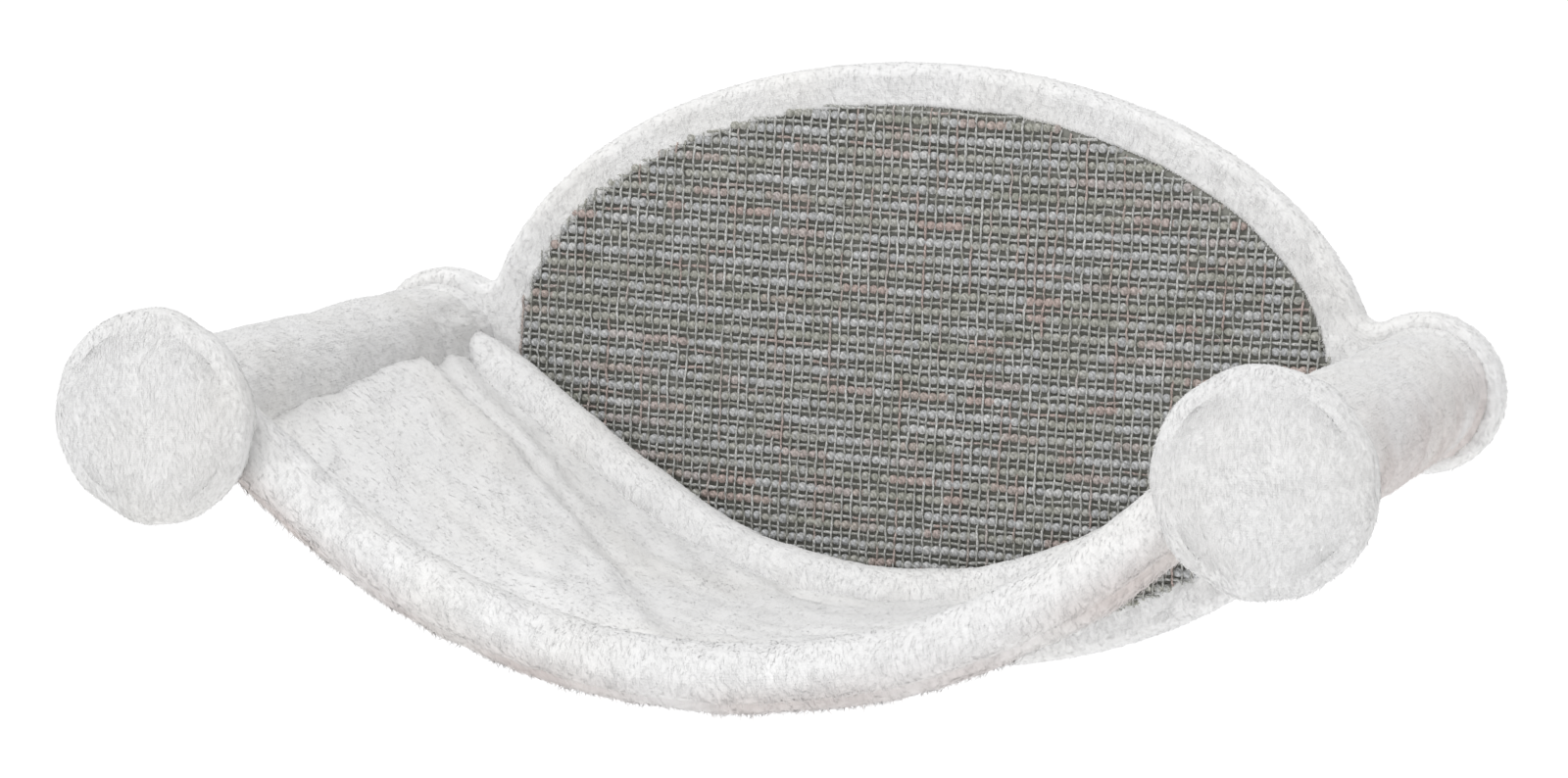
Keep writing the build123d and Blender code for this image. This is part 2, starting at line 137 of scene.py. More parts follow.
# Shares from 0 to 1 on the side that shows and back in fewer steps on the hidden one, and
# which of them show, both as one row.
def thereAndBack(fine, coarse):
    share = np.concatenate([np.linspace(0, 1, fine), np.linspace(1, 0, coarse + 2)[1:-1]])
    return share[None, :], np.concatenate([np.ones(fine), np.zeros(coarse)])[None, :]


# The corner numbers of each quad of a grid, and each corner's place on the unit square. The
# columns close into a ring, and so do the rows where they wrap.
def gridQuads(rows, columns, wrapRows=False):
    i, j = np.meshgrid(np.arange(rows - (not wrapRows)), np.arange(columns), indexing="ij")
    i, j = i.ravel(), j.ravel()
    quads = np.stack([((i + a) % rows) * columns + (j + b) % columns for a, b in quadSteps], 1)
    places = np.stack([np.stack([(j + b) / columns, (i + a) / rows], 1) for a, b in quadSteps], 1)
    return quads, places


# A grid's points with a pole in the middle of its first and of its last row, and the fans
# of triangles that close it there.
def withPoles(grid):
    rows, columns = grid.shape[:2]
    around = np.arange(columns)
    after = (around + 1) % columns
    pole, lastRow = rows * columns, (rows - 1) * columns
    points = np.vstack([grid.reshape(-1, 3), grid[0].mean(0), grid[-1].mean(0)])
    return points, [np.stack([np.full(columns, pole), after, around], 1),
                    np.stack([np.full(columns, pole + 1), around + lastRow, after + lastRow], 1)]


# Area-weighted normals at the vertices of quads or triangles.
def vertexNormals(points, faces):
    a, b, c = points[faces[:, 0]], points[faces[:, 1]], points[faces[:, 2]]
    across = np.cross(b - a, c - a)
    if faces.shape[1] == 4:
        across = np.cross(c - a, points[faces[:, 3]] - b)
    normals = np.zeros_like(points)
    for k in range(faces.shape[1]):
        np.add.at(normals, faces[:, k], across)
    return unit(normals)


# The faces of a closed mesh and their map, all turned round where the mesh's volume, the
# sum of a . (b x c) over its triangles, is negative.
def facingOut(points, faceSets, placeSets=()):
    volume = 0.0
    for faces in faceSets:
        for k in range(1, faces.shape[1] - 1):
            a, b, c = points[faces[:, 0]], points[faces[:, k]], points[faces[:, k + 1]]
            volume += np.einsum("ij,ij->i", a, np.cross(b, c)).sum()
    step = -1 if volume < 0 else 1
    return [faces[:, ::step] for faces in faceSets], [places[:, ::step] for places in placeSets]


# One mesh object from arrays. faceSets is a list of arrays of triangles or quads.
def newPiece(name, points, faceSets, material, placeSets=None, shades=None, normals=None):
    mesh = bpy.data.meshes.new(name)
    loops = np.concatenate([faces.ravel() for faces in faceSets])
    sizes = np.concatenate([np.full(len(faces), faces.shape[1]) for faces in faceSets])
    starts = np.concatenate([[0], np.cumsum(sizes)[:-1]])
    mesh.vertices.add(len(points))
    mesh.vertices.foreach_set("co", points.astype(np.float32).ravel())
    mesh.loops.add(len(loops))
    mesh.loops.foreach_set("vertex_index", loops.astype(np.int32))
    mesh.polygons.add(len(sizes))
    mesh.polygons.foreach_set("loop_start", starts.astype(np.int32))
    mesh.polygons.foreach_set("loop_total", sizes.astype(np.int32))
    mesh.polygons.foreach_set("use_smooth", np.full(len(sizes), True))
    mesh.update(calc_edges=True)
    if placeSets is not None:
        layer = mesh.uv_layers.new(name="OFBake")
        places = np.concatenate([part.reshape(-1, 2) for part in placeSets])
        layer.uv.foreach_set("vector", places.astype(np.float32).ravel())
    for label, values in (shades or {}).items():
        layer = mesh.attributes.new(label, "FLOAT", "POINT")
        layer.data.foreach_set("value", values.astype(np.float32))
    mesh.validate(clean_customdata=False)
    if normals is not None:
        mesh.normals_split_custom_set_from_vertices(normals.tolist())
    piece = bpy.data.objects.new(name, mesh)
    bpy.context.scene.collection.objects.link(piece)
    mesh.materials.append(material)
    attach(piece, "root")
    return piece


# What the pile of every plush piece starts from. A piece gives its own nap.
basePile = {
    "length": 0.55 * mm,
    "uneven": 0.3,  # share by which a tuft's length varies
    "tuftShare": 0.25,  # and share by which it varies slowly over the cloth
    "tuftPitch": 9 * mm,
    "least": 0.02,  # share of the length where the cloth is bare
    "jitter": 0.22,  # share of the spacing that a tuft's foot is moved by
    "lean": 0.3,
    "swirl": 0.3,  # how much the nap turns from place to place
    "swirlPitch": 30 * mm,
    "clump": 0.15,
    "clumpPitch": 6 * mm,
    "shadeLean": 0.1,
    "shadeOwn": 0.36,  # share of the tufts' own normals in the shading
    "hairShare": 0.36,  # hairs to each tuft
    "hairReach": 3.4 * mm,
    "hairReachShares": (0.5, 1.3),
    "hairRise": 0.7 * mm,
    "hairRiseShares": (0.5, 1.15),
    "hairWidth": 0.40 * mm,
    "hairFoot": 0.1 * mm,
    "hairCrest": 1.6,  # height of a hair's foot, in half widths
    "hairSpread": 0.4,
    "hairShade": 0.05,
    "hairOwn": 0.18,
    "hairHang": 0.0,  # how much longer the hairs are where the warm shade is painted
}
# The map of a plush piece: the cloth with its tufts below, one small cell a hair above
plushMap = {
    "cloth": 0.86,
    "hairsFrom": 0.865,
    "hairs": 0.13,
    "hairSpots": [[(0.1, 0.1), (0.4, 0.1), (0.1, 0.4)], [(0.5, 0.1), (0.9, 0.1), (0.5, 0.4)],
                  [(0.1, 0.5), (0.4, 0.5), (0.1, 0.9)], [(0.5, 0.5), (0.9, 0.5), (0.5, 0.9)]],
}
hairSides = ((0, 2, 1), (0, 1, 3), (1, 2, 3), (2, 0, 3))
hairHeights = (0.55, 0.55, 0.7, 1.0)  # the pile's height at a hair's corners


# Longer hairs that lie along the nap: a root triangle and a tip each. The tip is the root
# plus the nap's direction times the reach, plus the normal times the rise.
def lyingHairs(middle, up, nap, length, hang, spacing, pile, rng):
    grown = np.flatnonzero(length > 0.5 * pile["length"])
    chosen = rng.choice(grown, int(pile["hairShare"] * len(grown)), replace=False)
    count = len(chosen)
    outward, hang = up[chosen], hang[chosen][:, None]
    along = unit(nap[chosen]) + rng.normal(0, pile["hairSpread"], (count, 3))
    along = unit(flattened(along, outward))
    across = np.cross(outward, along)
    reach = pile["hairReach"] * rng.uniform(*pile["hairReachShares"], count)[:, None] * hang
    grownShare = rng.uniform(*pile["hairRiseShares"], count) * length[chosen] / pile["length"]
    rise = pile["hairRise"] * grownShare[:, None] * hang
    shift = rng.uniform(-0.5, 0.5, (count, 2)) * spacing
    root = middle[chosen] + along * shift[:, :1] + across * shift[:, 1:] + outward * pile["hairFoot"]
    half = pile["hairWidth"] / 2
    crest = root + outward * half * pile["hairCrest"] + along * half
    tip = root + along * reach + outward * rise
    corners = np.stack([root - across * half, root + across * half, crest, tip], 1).reshape(-1, 3)
    shade = unit(outward + across * rng.normal(0, pile["hairShade"], (count, 1)) +
                 along * rng.normal(0, pile["hairShade"], (count, 1)))
    faces = (4 * np.arange(count)[:, None, None] + np.array(hairSides)).reshape(-1, 3)
    faces = facingOut(corners, [faces])[0][0]
    soft = unit(np.repeat(shade, 4, 0) + pile["hairOwn"] * vertexNormals(corners, faces))
    wide = int(math.ceil(math.sqrt(count / plushMap["hairs"])))
    cell = np.stack([np.arange(count) % wide, np.arange(count) // wide], 1) / wide
    spots = np.array(plushMap["hairSpots"]) / wide
    places = ((cell + [0, plushMap["hairsFrom"]])[:, None, None] + spots).reshape(-1, 3, 2)
    return chosen, corners, faces, places, soft


# A closed cloth with its pile: each quad is drawn out to a leaning tuft. A tuft's tip is
# the quad's middle, plus its normal times the pile's length, plus the nap, plus a clump
# shift that leans neighbours together. cover is the share of the length at each point.
def tuftedPiece(name, points, quads, places, pile, seed, fans=(), fanPlaces=(), cover=None, warmShade=None):
    (quads, *fans), placeSets = facingOut(points, [quads, *fans], [places, *fanPlaces])
    places, *fanPlaces = [part * [1, plushMap["cloth"]] for part in placeSets]
    rng = np.random.default_rng(seed)
    normals = vertexNormals(points, quads)
    spacing = np.linalg.norm(points[quads[:, 0]] - points[quads[:, 2]], axis=1).mean() / math.sqrt(2)
    jitter = rng.uniform(-1, 1, points.shape) * pile["jitter"] * spacing
    points = points + flattened(jitter, normals)

    warmShade = np.zeros(len(points)) if warmShade is None else warmShade
    pink = warmShade[quads].mean(1)
    middle = points[quads].mean(1)
    up = unit(normals[quads].mean(1))
    length = pile["length"] * rng.uniform(1 - pile["uneven"], 1 + pile["uneven"], len(quads))
    length *= 1 + pile["tuftShare"] * waves(middle, pile["tuftPitch"], seed + 7)
    if cover is not None:
        length *= np.clip(cover[quads].mean(1), pile["least"], 1)
    nap = flattened(pile["nap"] + pile["swirl"] * waveVectors(middle, pile["swirlPitch"], seed + 3), up)
    clump = flattened(waveVectors(middle, pile["clumpPitch"], seed + 5), up)
    lean = nap * pile["lean"] + clump * pile["clump"]

    tip = len(points) + np.arange(len(quads))
    points = np.vstack([points, middle + (up + lean) * length[:, None]])
    centre = places.mean(1)
    pairs = [(k, (k + 1) % 4) for k in range(4)]
    sides = [np.stack([quads[:, k], quads[:, after], tip], 1) for k, after in pairs]
    sidePlaces = [np.stack([places[:, k], places[:, after], centre], 1) for k, after in pairs]
    # Shaded mostly by the cloth under the pile, so that it looks soft
    soft = unit(np.vstack([normals, up + pile["shadeLean"] * lean]))
    soft = unit(soft + pile["shadeOwn"] * vertexNormals(points, np.vstack(sides + fans)))

    hang = 1 + pile["hairHang"] * pink
    chosen, hairs, strands, hairPlaces, hairSoft = lyingHairs(
        middle, up, nap, length, hang, spacing, pile, rng)
    heights = np.concatenate([np.zeros(tip[0]), np.ones(len(tip)), np.tile(hairHeights, len(chosen))])
    warmShade = np.concatenate([warmShade, pink, np.repeat(pink[chosen], 4)])
    piece = newPiece(name, np.vstack([points, hairs]), [*sides, *fans, strands + len(points)],
                     plush, [*sidePlaces, *fanPlaces, hairPlaces],
                     {"pile": heights, "warmShade": warmShade}, np.vstack([soft, hairSoft]))
    print(name, "tufts", len(quads), "hairs", len(chosen), "triangles",
          4 * (len(quads) + len(chosen)) + sum(len(faces) for faces in fans))
    return piece


# A tufted piece from a grid of points. Rows that don't wrap are closed by a pole each.
def plushPiece(name, grid, pile, seed, cover=None, warmShade=None, wrapRows=False):
    rows, columns = grid.shape[:2]
    points = grid.reshape(-1, 3)
    quads, places = gridQuads(rows, columns, wrapRows)
    fans, fanPlaces = [], []
    if not wrapRows:
        points, fans = withPoles(grid)
        left, right = np.arange(columns) / columns, (np.arange(columns) + 1) / columns
        for height, ends in ((0.0, (right, left)), ((rows - 1) / rows, (left, right))):
            across = np.stack([(left + right) / 2, *ends], 1)
            fanPlaces.append(np.stack([across, np.full(across.shape, height)], 2))
    if cover is not None:
        cover = cover.reshape(-1)
    if warmShade is not None:
        warmShade = np.concatenate([warmShade.reshape(-1), np.zeros(len(points) - rows * columns)])
    return tuftedPiece(name, points, quads, places, pile, seed, fans, fanPlaces, cover, warmShade)


# A material with one shader.
def newMaterial(name):
    material = bpy.data.materials.new(name)
    material.use_nodes = True
    tree = material.node_tree
    tree.nodes.clear()
    output = tree.nodes.new("ShaderNodeOutputMaterial")
    shader = tree.nodes.new("ShaderNodeBsdfPrincipled")
    tree.links.new(shader.outputs[0], output.inputs[0])
    return material, tree, shader


# A node with its values and links set by socket, and its settings by name.
def addNode(tree, kind, values=None, links=None, **settings):
    node = tree.nodes.new(kind)
    for key, value in settings.items():
        setattr(node, key, value)
    for key, value in (values or {}).items():
        node.inputs[key].default_value = value
    for key, source in (links or {}).items():
        tree.links.new(source, node.inputs[key])
    return node


# Noise on Object coordinates, stretched along the axes.
def noiseFrom(tree, scale, detail=2.0, stretch=(1, 1, 1), roughness=0.5):
    place = addNode(tree, "ShaderNodeTexCoord")
    mapping = addNode(tree, "ShaderNodeMapping", {"Scale": stretch}, {"Vector": place.outputs["Object"]})
    return addNode(tree, "ShaderNodeTexNoise", {"Scale": scale, "Detail": detail, "Roughness": roughness},
                   {"Vector": mapping.outputs[0]})


# Colours along a value. stops is a list of (value, colour).
def rampFrom(tree, source, stops):
    ramp = addNode(tree, "ShaderNodeValToRGB", links={"Fac": source})
    elements = ramp.color_ramp.elements
    for index in (0, -1):
        elements[index].position = stops[index][0]
        elements[index].color = (*stops[index][1], 1)
    for position, colour in stops[1:-1]:
        elements.new(position).color = (*colour, 1)
    return ramp


# Two colours mixed. factor, first and second are sockets or values.
def mixColours(tree, factor, first, second, blend="MIX"):
    node = addNode(tree, "ShaderNodeMix", data_type="RGBA", blend_type=blend)
    for index, value in ((0, factor), (6, first), (7, second)):
        if isinstance(value, bpy.types.NodeSocket):
            tree.links.new(value, node.inputs[index])
        elif index == 0:
            node.inputs[index].default_value = value
        else:
            node.inputs[index].default_value = (*value, 1)
    return node.outputs[2]


# Pale plush: darker at the roots as painted shade deep in the pile, white at the tips, with a faint uneven tint
# and a painted warm shade on undersides.
def plushMaterial(name, look):
    material, tree, shader = newMaterial(name)
    height = addNode(tree, "ShaderNodeAttribute", attribute_name="pile")
    # Painted shade: the colour darkens from the pile's tips down to its roots
    pileShadeStops = [(0.0, look["root"]), (0.35, look["middle"]), (1.0, look["tip"])]
    depth = rampFrom(tree, height.outputs["Fac"], pileShadeStops)
    patches = noiseFrom(tree, 16.0, 2.0)
    warm = addNode(tree, "ShaderNodeMapRange", {1: 0.45, 2: 0.75, 3: 0.0, 4: look["tintShare"]},
                   {0: patches.outputs["Fac"]})
    tinted = mixColours(tree, warm.outputs[0], depth.outputs[0], look["tint"], "MULTIPLY")
    pink = addNode(tree, "ShaderNodeAttribute", attribute_name="warmShade")
    # Painted warm shade: the plush darkens to a warm grey on the undersides
    warmShaded = mixColours(tree, 1.0, tinted, look["warmShade"], "MULTIPLY")
    tinted = mixColours(tree, pink.outputs["Fac"], tinted, warmShaded)
    flecks = noiseFrom(tree, 420.0, 3.0)
    fleck = rampFrom(tree, flecks.outputs["Fac"], [(0.3, look["fleckDark"]), (0.6, (1, 1, 1))])
    colour = mixColours(tree, 0.6, tinted, fleck.outputs[0], "MULTIPLY")
    tree.links.new(colour, shader.inputs["Base Color"])
    fibres = noiseFrom(tree, 1500.0, 2.0)
    bump = addNode(tree, "ShaderNodeBump", {"Strength": 0.14, "Distance": 0.6 * mm},
                   {"Height": fibres.outputs["Fac"]})
    tree.links.new(bump.outputs[0], shader.inputs["Normal"])
    shader.inputs["Roughness"].default_value = 0.95
    shader.inputs["Specular IOR Level"].default_value = 0.15
    shader.inputs["Sheen Weight"].default_value = look["sheen"]
    shader.inputs["Sheen Roughness"].default_value = 0.5
    return material


plushLook = {
    # root, middle and tip colours: darker towards the roots as painted shade in the pile
    "root": (0.935, 0.933, 0.931),
    "middle": (0.95, 0.949, 0.948),
    "tip": (0.97, 0.969, 0.968),
    "tint": (0.99, 0.98, 0.955),
    "tintShare": 0.7,
    # colour of the painted warm shade on the undersides
    "warmShade": (0.80, 0.735, 0.715),
    "fleckDark": (0.985, 0.985, 0.985),
    "sheen": 0.35,
}
plush = plushMaterial("whitePlush", plushLook)


# Birch plywood: long grain lines from stretched noise, over a slow change of shade.
def woodMaterial(name, light, dark):
    material, tree, shader = newMaterial(name)
    grain = noiseFrom(tree, 60.0, 4.0, (0.6, 8.0, 9.0), 0.6)
    lines = rampFrom(tree, grain.outputs["Fac"], [(0.3, dark), (0.55, light), (0.8, dark)])
    shade = noiseFrom(tree, 9.0, 2.0)
    patch = rampFrom(tree, shade.outputs["Fac"], [(0.3, (0.9, 0.88, 0.86)), (0.7, (1, 1, 1))])
    colour = mixColours(tree, 1.0, lines.outputs[0], patch.outputs[0], "MULTIPLY")
    tree.links.new(colour, shader.inputs["Base Color"])
    bump = addNode(tree, "ShaderNodeBump", {"Strength": 0.25, "Distance": 0.4 * mm},
                   {"Height": grain.outputs["Fac"]})
    tree.links.new(bump.outputs[0], shader.inputs["Normal"])
    shader.inputs["Roughness"].default_value = 0.62
    return material


# Zinc-plated steel: cloudy spangle in the shade and the roughness.
def steelMaterial(name, colour):
    material, tree, shader = newMaterial(name)
    cloud = noiseFrom(tree, 180.0, 3.0)
    shade = rampFrom(tree, cloud.outputs["Fac"], [(0.35, tuple(0.82 * c for c in colour)), (0.65, colour)])
    tree.links.new(shade.outputs[0], shader.inputs["Base Color"])
    rough = addNode(tree, "ShaderNodeMapRange", {1: 0.3, 2: 0.7, 3: 0.28, 4: 0.46}, {0: cloud.outputs["Fac"]})
    tree.links.new(rough.outputs[0], shader.inputs["Roughness"])
    shader.inputs["Metallic"].default_value = 1.0
    return material


# Wound card or a like matt sheet, paler and darker in long fibres.
def cardMaterial(name, light, dark):
    material, tree, shader = newMaterial(name)
    fibre = noiseFrom(tree, 90.0, 4.0, (1.0, 0.3, 1.0))
    shade = rampFrom(tree, fibre.outputs["Fac"], [(0.3, dark), (0.7, light)])
    tree.links.new(shade.outputs[0], shader.inputs["Base Color"])
    shader.inputs["Roughness"].default_value = 0.85
    return material


wood = woodMaterial("birchPly", (0.68, 0.52, 0.34), (0.55, 0.40, 0.25))
steel = steelMaterial("zincSteel", (0.66, 0.67, 0.68))
card = cardMaterial("brownCard", (0.52, 0.40, 0.27), (0.42, 0.31, 0.20))
latex = cardMaterial("latexBacking", (0.20, 0.19, 0.17), (0.13, 0.125, 0.115))

slotMaterials = {"wood": wood, "zinc_steel": steel, "card_tube": card, "latex": latex}
for subpart in frame["record"]["subparts"]:
    node = nodes[subpart["node"]]
    node.data.materials.clear()
    node.data.materials.append(slotMaterials.get(subpart["material_slot"], plush))
print("materials ready")


hang = {
    "frontSag": 91.5 * mm,
    "rearSag": 100.0 * mm,
    "frontArcShare": 0.90,
    "rearArcShare": 0.76,
    "seamLift": 11.0 * mm,
}


# x, z and lean of the sling's centre line at a share of its half width, from the posts'
# axes. In the middle z = -sag + radius * (1 - cos(lean)), a round arc, and it runs out
# into straight sides that touch the arc and end at the seams.
def hangLine(share, sag, arcShare):
    slope = arcShare * 2 * np.arctan2(sag, postX)
    endX = postX - hang["seamLift"] * np.sin(slope)
    endZ = hang["seamLift"] * np.cos(slope)
    fall = endX * np.tan(slope) - (sag + endZ)
    radius = fall / (np.sin(slope) * np.tan(slope) - (1 - np.cos(slope)))
    x = share * endX
    lean = np.arcsin(np.clip(x / radius, -1, 1))
    onArc = np.abs(x) < radius * np.sin(slope)
    lean = np.where(onArc, lean, np.sign(x) * slope)
    z = np.where(onArc, -sag + radius * (1 - np.cos(lean)), endZ - (endX - np.abs(x)) * np.tan(slope))
    return x, z, lean


# Strength of a painted warm shade that comes and goes over the cloth: 0.75 + 0.4 * a slow field, from 0 to 1.
def patchyWarmShade(points, pitch, seed):
    return np.clip(0.75 + 0.4 * waves(points, pitch, seed), 0, 1)


# Rolls along the two edges of the sling. Angles go up from the front, in radians.
rollPile = {**basePile, "nap": (0.2, -0.3, -0.9), "shadeOwn": 0.35, "hairShade": 0.04,
            "hairOwn": 0.15, "hairHang": 0.9}
anyRoll = {
    "lengthShare": 1.12,  # length along the hang, over the way between the posts
    "grooveEnds": (0.02, 0.2),  # shares from the end where the groove starts and is full
    "bulgeWidth": 0.5,
    "swellPitch": 45 * mm,
    "fineSwellShare": 0.4,
    "fineSwellPitch": 15 * mm,
    "riseAt": 0.62,
    "riseWidth": 0.25,
    "dipEnds": (0.01, 0.11),
    # where the painted warm shade lies round a roll, and how patchy it is
    "warmShadeFrom": 0.15,
    "warmShadeTurns": (-0.2, 1.3),
    "warmShadeBack": -0.5,
    "warmShadePitch": 50 * mm,
}
frontRoll = {
    **anyRoll,
    "spacing": 1.12 * mm,
    "sag": hang["frontSag"],
    "arcShare": hang["frontArcShare"],
    "middleY": (frontRollLow[1] + frontRollHigh[1]) / 2,
    "grooveAngle": -0.95,
    "grooveDepth": 2.2 * mm,
    "grooveWidth": 0.20,
    "bulge": 0.8 * mm,
    "bulgeTurn": 0.55,
    "swell": 0.5 * mm,
    "rise": 0.0,
    "dip": 0.0,
    "warmShade": 1.0,
}
rearRoll = {
    **anyRoll,
    "spacing": 1.2 * mm,
    "sag": hang["rearSag"],
    "arcShare": hang["rearArcShare"],
    "middleY": (rearRollLow[1] + rearRollHigh[1]) / 2,
    "grooveAngle": -1.4,
    "grooveDepth": 1.0 * mm,
    "grooveWidth": 0.25,
    "bulge": 0.0,
    "bulgeTurn": 0.5,
    "swell": 0.7 * mm,
    "rise": 2.2 * mm,
    "dip": 5.0 * mm,
    "warmShade": 0.0,
}


# A round section carried along the hang: middle + radius * (cos a across, sin a up), with
# a sewn groove pressed in along one angle and a bulge beside it, and the radius varied by
# slow noise. Where asked for, its top rises over both sides and its ends dip.
def rollSurface(roll, seed):
    radius = rollRadius - pileDepth
    rows = int(2 * postX * roll["lengthShare"] / roll["spacing"])
    columns = int(2 * np.pi * radius / roll["spacing"])
    share = np.linspace(-1.0, 1.0, rows)[:, None]
    fromEnd = 1 - np.abs(share)
    x, z, lean = hangLine(share, roll["sag"], roll["arcShare"])
    angle = fullTurn(columns)
    middle = np.stack([x, np.full(x.shape, roll["middleY"]), z + postZ], -1)
    up = np.stack([-np.sin(lean), np.zeros(x.shape), np.cos(lean)], -1)
    out = np.array([0.0, -1.0, 0.0])
    grid = middle + radius * (np.cos(angle)[None, :, None] * out + np.sin(angle)[None, :, None] * up)
    away = unit(grid - middle)
    turn = wrapped(angle - roll["grooveAngle"])
    fade = smoothStep(fromEnd, *roll["grooveEnds"])
    dent = roll["grooveDepth"] * bell(turn, roll["grooveWidth"]) * fade
    bulge = roll["bulge"] * bell(turn + roll["bulgeTurn"], roll["bulgeWidth"]) * fade
    swell = roll["swell"] * waves(grid, roll["swellPitch"], seed)
    swell = swell + roll["fineSwellShare"] * roll["swell"] * waves(grid, roll["fineSwellPitch"], seed + 1)
    rise = roll["rise"] * bell(np.abs(share) - roll["riseAt"], roll["riseWidth"]) * np.maximum(np.sin(angle), 0)
    # Painted warm shade on the roll's lower front, patchy along it
    below = smoothStep(-wrapped(angle - roll["warmShadeFrom"]), *roll["warmShadeTurns"])
    below = below * (np.cos(angle) > roll["warmShadeBack"])
    warmShade = below * patchyWarmShade(grid, roll["warmShadePitch"], seed + 2) * roll["warmShade"]
    dip = roll["dip"] * (1 - smoothStep(fromEnd, *roll["dipEnds"]))
    return grid + away * (swell - dent + bulge + rise)[..., None] - up * dip[..., None], warmShade


frontGrid, frontWarmShade = rollSurface(frontRoll, 31)
frontRollPlush = plushPiece("frontRollPlush", frontGrid, rollPile, 21, warmShade=frontWarmShade)
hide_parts("front_roll_cover", "front_roll_filling")

rearGrid, rearWarmShade = rollSurface(rearRoll, 41)
rearRollPlush = plushPiece("rearRollPlush", rearGrid, rollPile, 22, warmShade=rearWarmShade)
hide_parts("rear_roll_cover", "rear_roll_filling")


# Bed between the rolls. Places on it are shares: across, from the middle to a seam, and
# along, from the rear roll to the front one.
bed = {
    "topSpacing": 1.82 * mm,
    "underSpacing": 2.5 * mm,
    "lengthShare": 1.1,
    "hiddenPoints": 14,
    "topLift": 3.4 * mm,
    "underLift": -2.9 * mm,
    "insideShares": (0.3, 0.25),  # how deep the hidden side lies, for the top and the under cloth
    "edgeReach": 4.0 * mm,
    "edgeShare": 0.035,
    "topEdgeFall": 1.5 * mm,
    "underEdgeRise": 0.8 * mm,
    "underSwell": 0.5 * mm,
    "crest": [(1.00, 0.22), (0.90, 0.27), (0.75, 0.30), (0.63, 0.34), (0.52, 0.43), (0.40, 0.57),
              (0.23, 0.84), (0.12, 1.04)],
    "crestHeight": 7.6 * mm,
    "crestFall": 0.11,
    "panelWidth": 0.42,
    "panelFront": (1.03, 0.22),  # where the panel ends along, and over how much it fades
    "panelSeam": (1.06, 0.16),  # and the same across
    "ridge": [(0.98, 0.07), (0.90, 0.10), (0.83, 0.12), (0.73, 0.17), (0.64, 0.21), (0.55, 0.25),
              (0.45, 0.34)],
    "ridgeHeight": 3.3 * mm,
    "ridgeWidth": 0.055,
    "ridgeFades": (0.1, 0.35),
    "rightShare": 0.8,
    "dimples": [(-0.30, 0.15, 3.6), (-0.17, 0.07, 3.0), (-0.06, 0.13, 2.8), (0.10, 0.2, 2.0),
                (-0.42, 0.22, 1.8), (-0.22, 0.30, 1.6), (-0.10, 0.45, 1.2), (0.22, 0.12, 1.6)],
    "dimpleWidth": 0.06,
    "crumple": 0.8 * mm,
}


# Distance to a smoothed line on the bed, positive on its front side, and the share of
# the line's length at the nearest place. across and along have the same shape.
def lineDistance(across, along, corners, steps=80, blur=8):
    corners = np.array(corners)
    run = np.concatenate([[0], np.cumsum(np.linalg.norm(np.diff(corners, axis=0), axis=1))])
    even = np.linspace(0, run[-1], steps + 1)
    line = np.stack([np.interp(even, run, corners[:, k]) for k in range(2)], 1)
    padded = np.pad(line, ((blur, blur), (0, 0)), mode="reflect", reflect_type="odd")
    kernel = np.ones(2 * blur + 1) / (2 * blur + 1)
    line = np.stack([np.convolve(padded[:, k], kernel, "valid") for k in range(2)], 1)
    away = np.stack([across[..., None] - line[:, 0], along[..., None] - line[:, 1]])
    nearest = np.hypot(*away).argmin(-1)
    x, y = np.take_along_axis(away, nearest[None, ..., None], -1)[..., 0]
    direction = np.gradient(line, axis=0)[nearest]
    side = direction[..., 0] * y - direction[..., 1] * x
    return np.hypot(x, y) * -np.sign(side), nearest / steps


# Height of the cloth over the hang. On each side a wide panel stands high in front of a
# crest line and drops steeply behind it, and a narrow ridge runs between it and the wall.
def bedLift(share, along, place):
    across, along = np.broadcast_arrays(np.abs(share), along)
    sideShare = np.where(share < 0, 1.0, bed["rightShare"])
    front = lineDistance(across, along, bed["crest"])[0]
    drop = smoothStep(front, -bed["crestFall"], 0.0)
    panel = bell(np.maximum(front, 0), bed["panelWidth"])
    (frontEnd, frontFade), (seamEnd, seamFade) = bed["panelFront"], bed["panelSeam"]
    ends = smoothStep(frontEnd - along, 0.0, frontFade) * smoothStep(seamEnd - across, 0.0, seamFade)
    lift = bed["crestHeight"] * drop * panel * ends * sideShare
    front, at = lineDistance(across, along, bed["ridge"])
    fade = smoothStep(at, 0.0, bed["ridgeFades"][0]) * smoothStep(1 - at, 0.0, bed["ridgeFades"][1])
    lift += bed["ridgeHeight"] * bell(front, bed["ridgeWidth"]) * fade * sideShare
    for spot, depthAt, depth in bed["dimples"]:
        lift -= depth * mm * np.exp(-((share - spot) ** 2 + (along - depthAt) ** 2) / bed["dimpleWidth"] ** 2)
    lift += bed["crumple"] * (waves(place, 42 * mm, 51) + 0.5 * waves(place, 17 * mm, 52))
    return lift


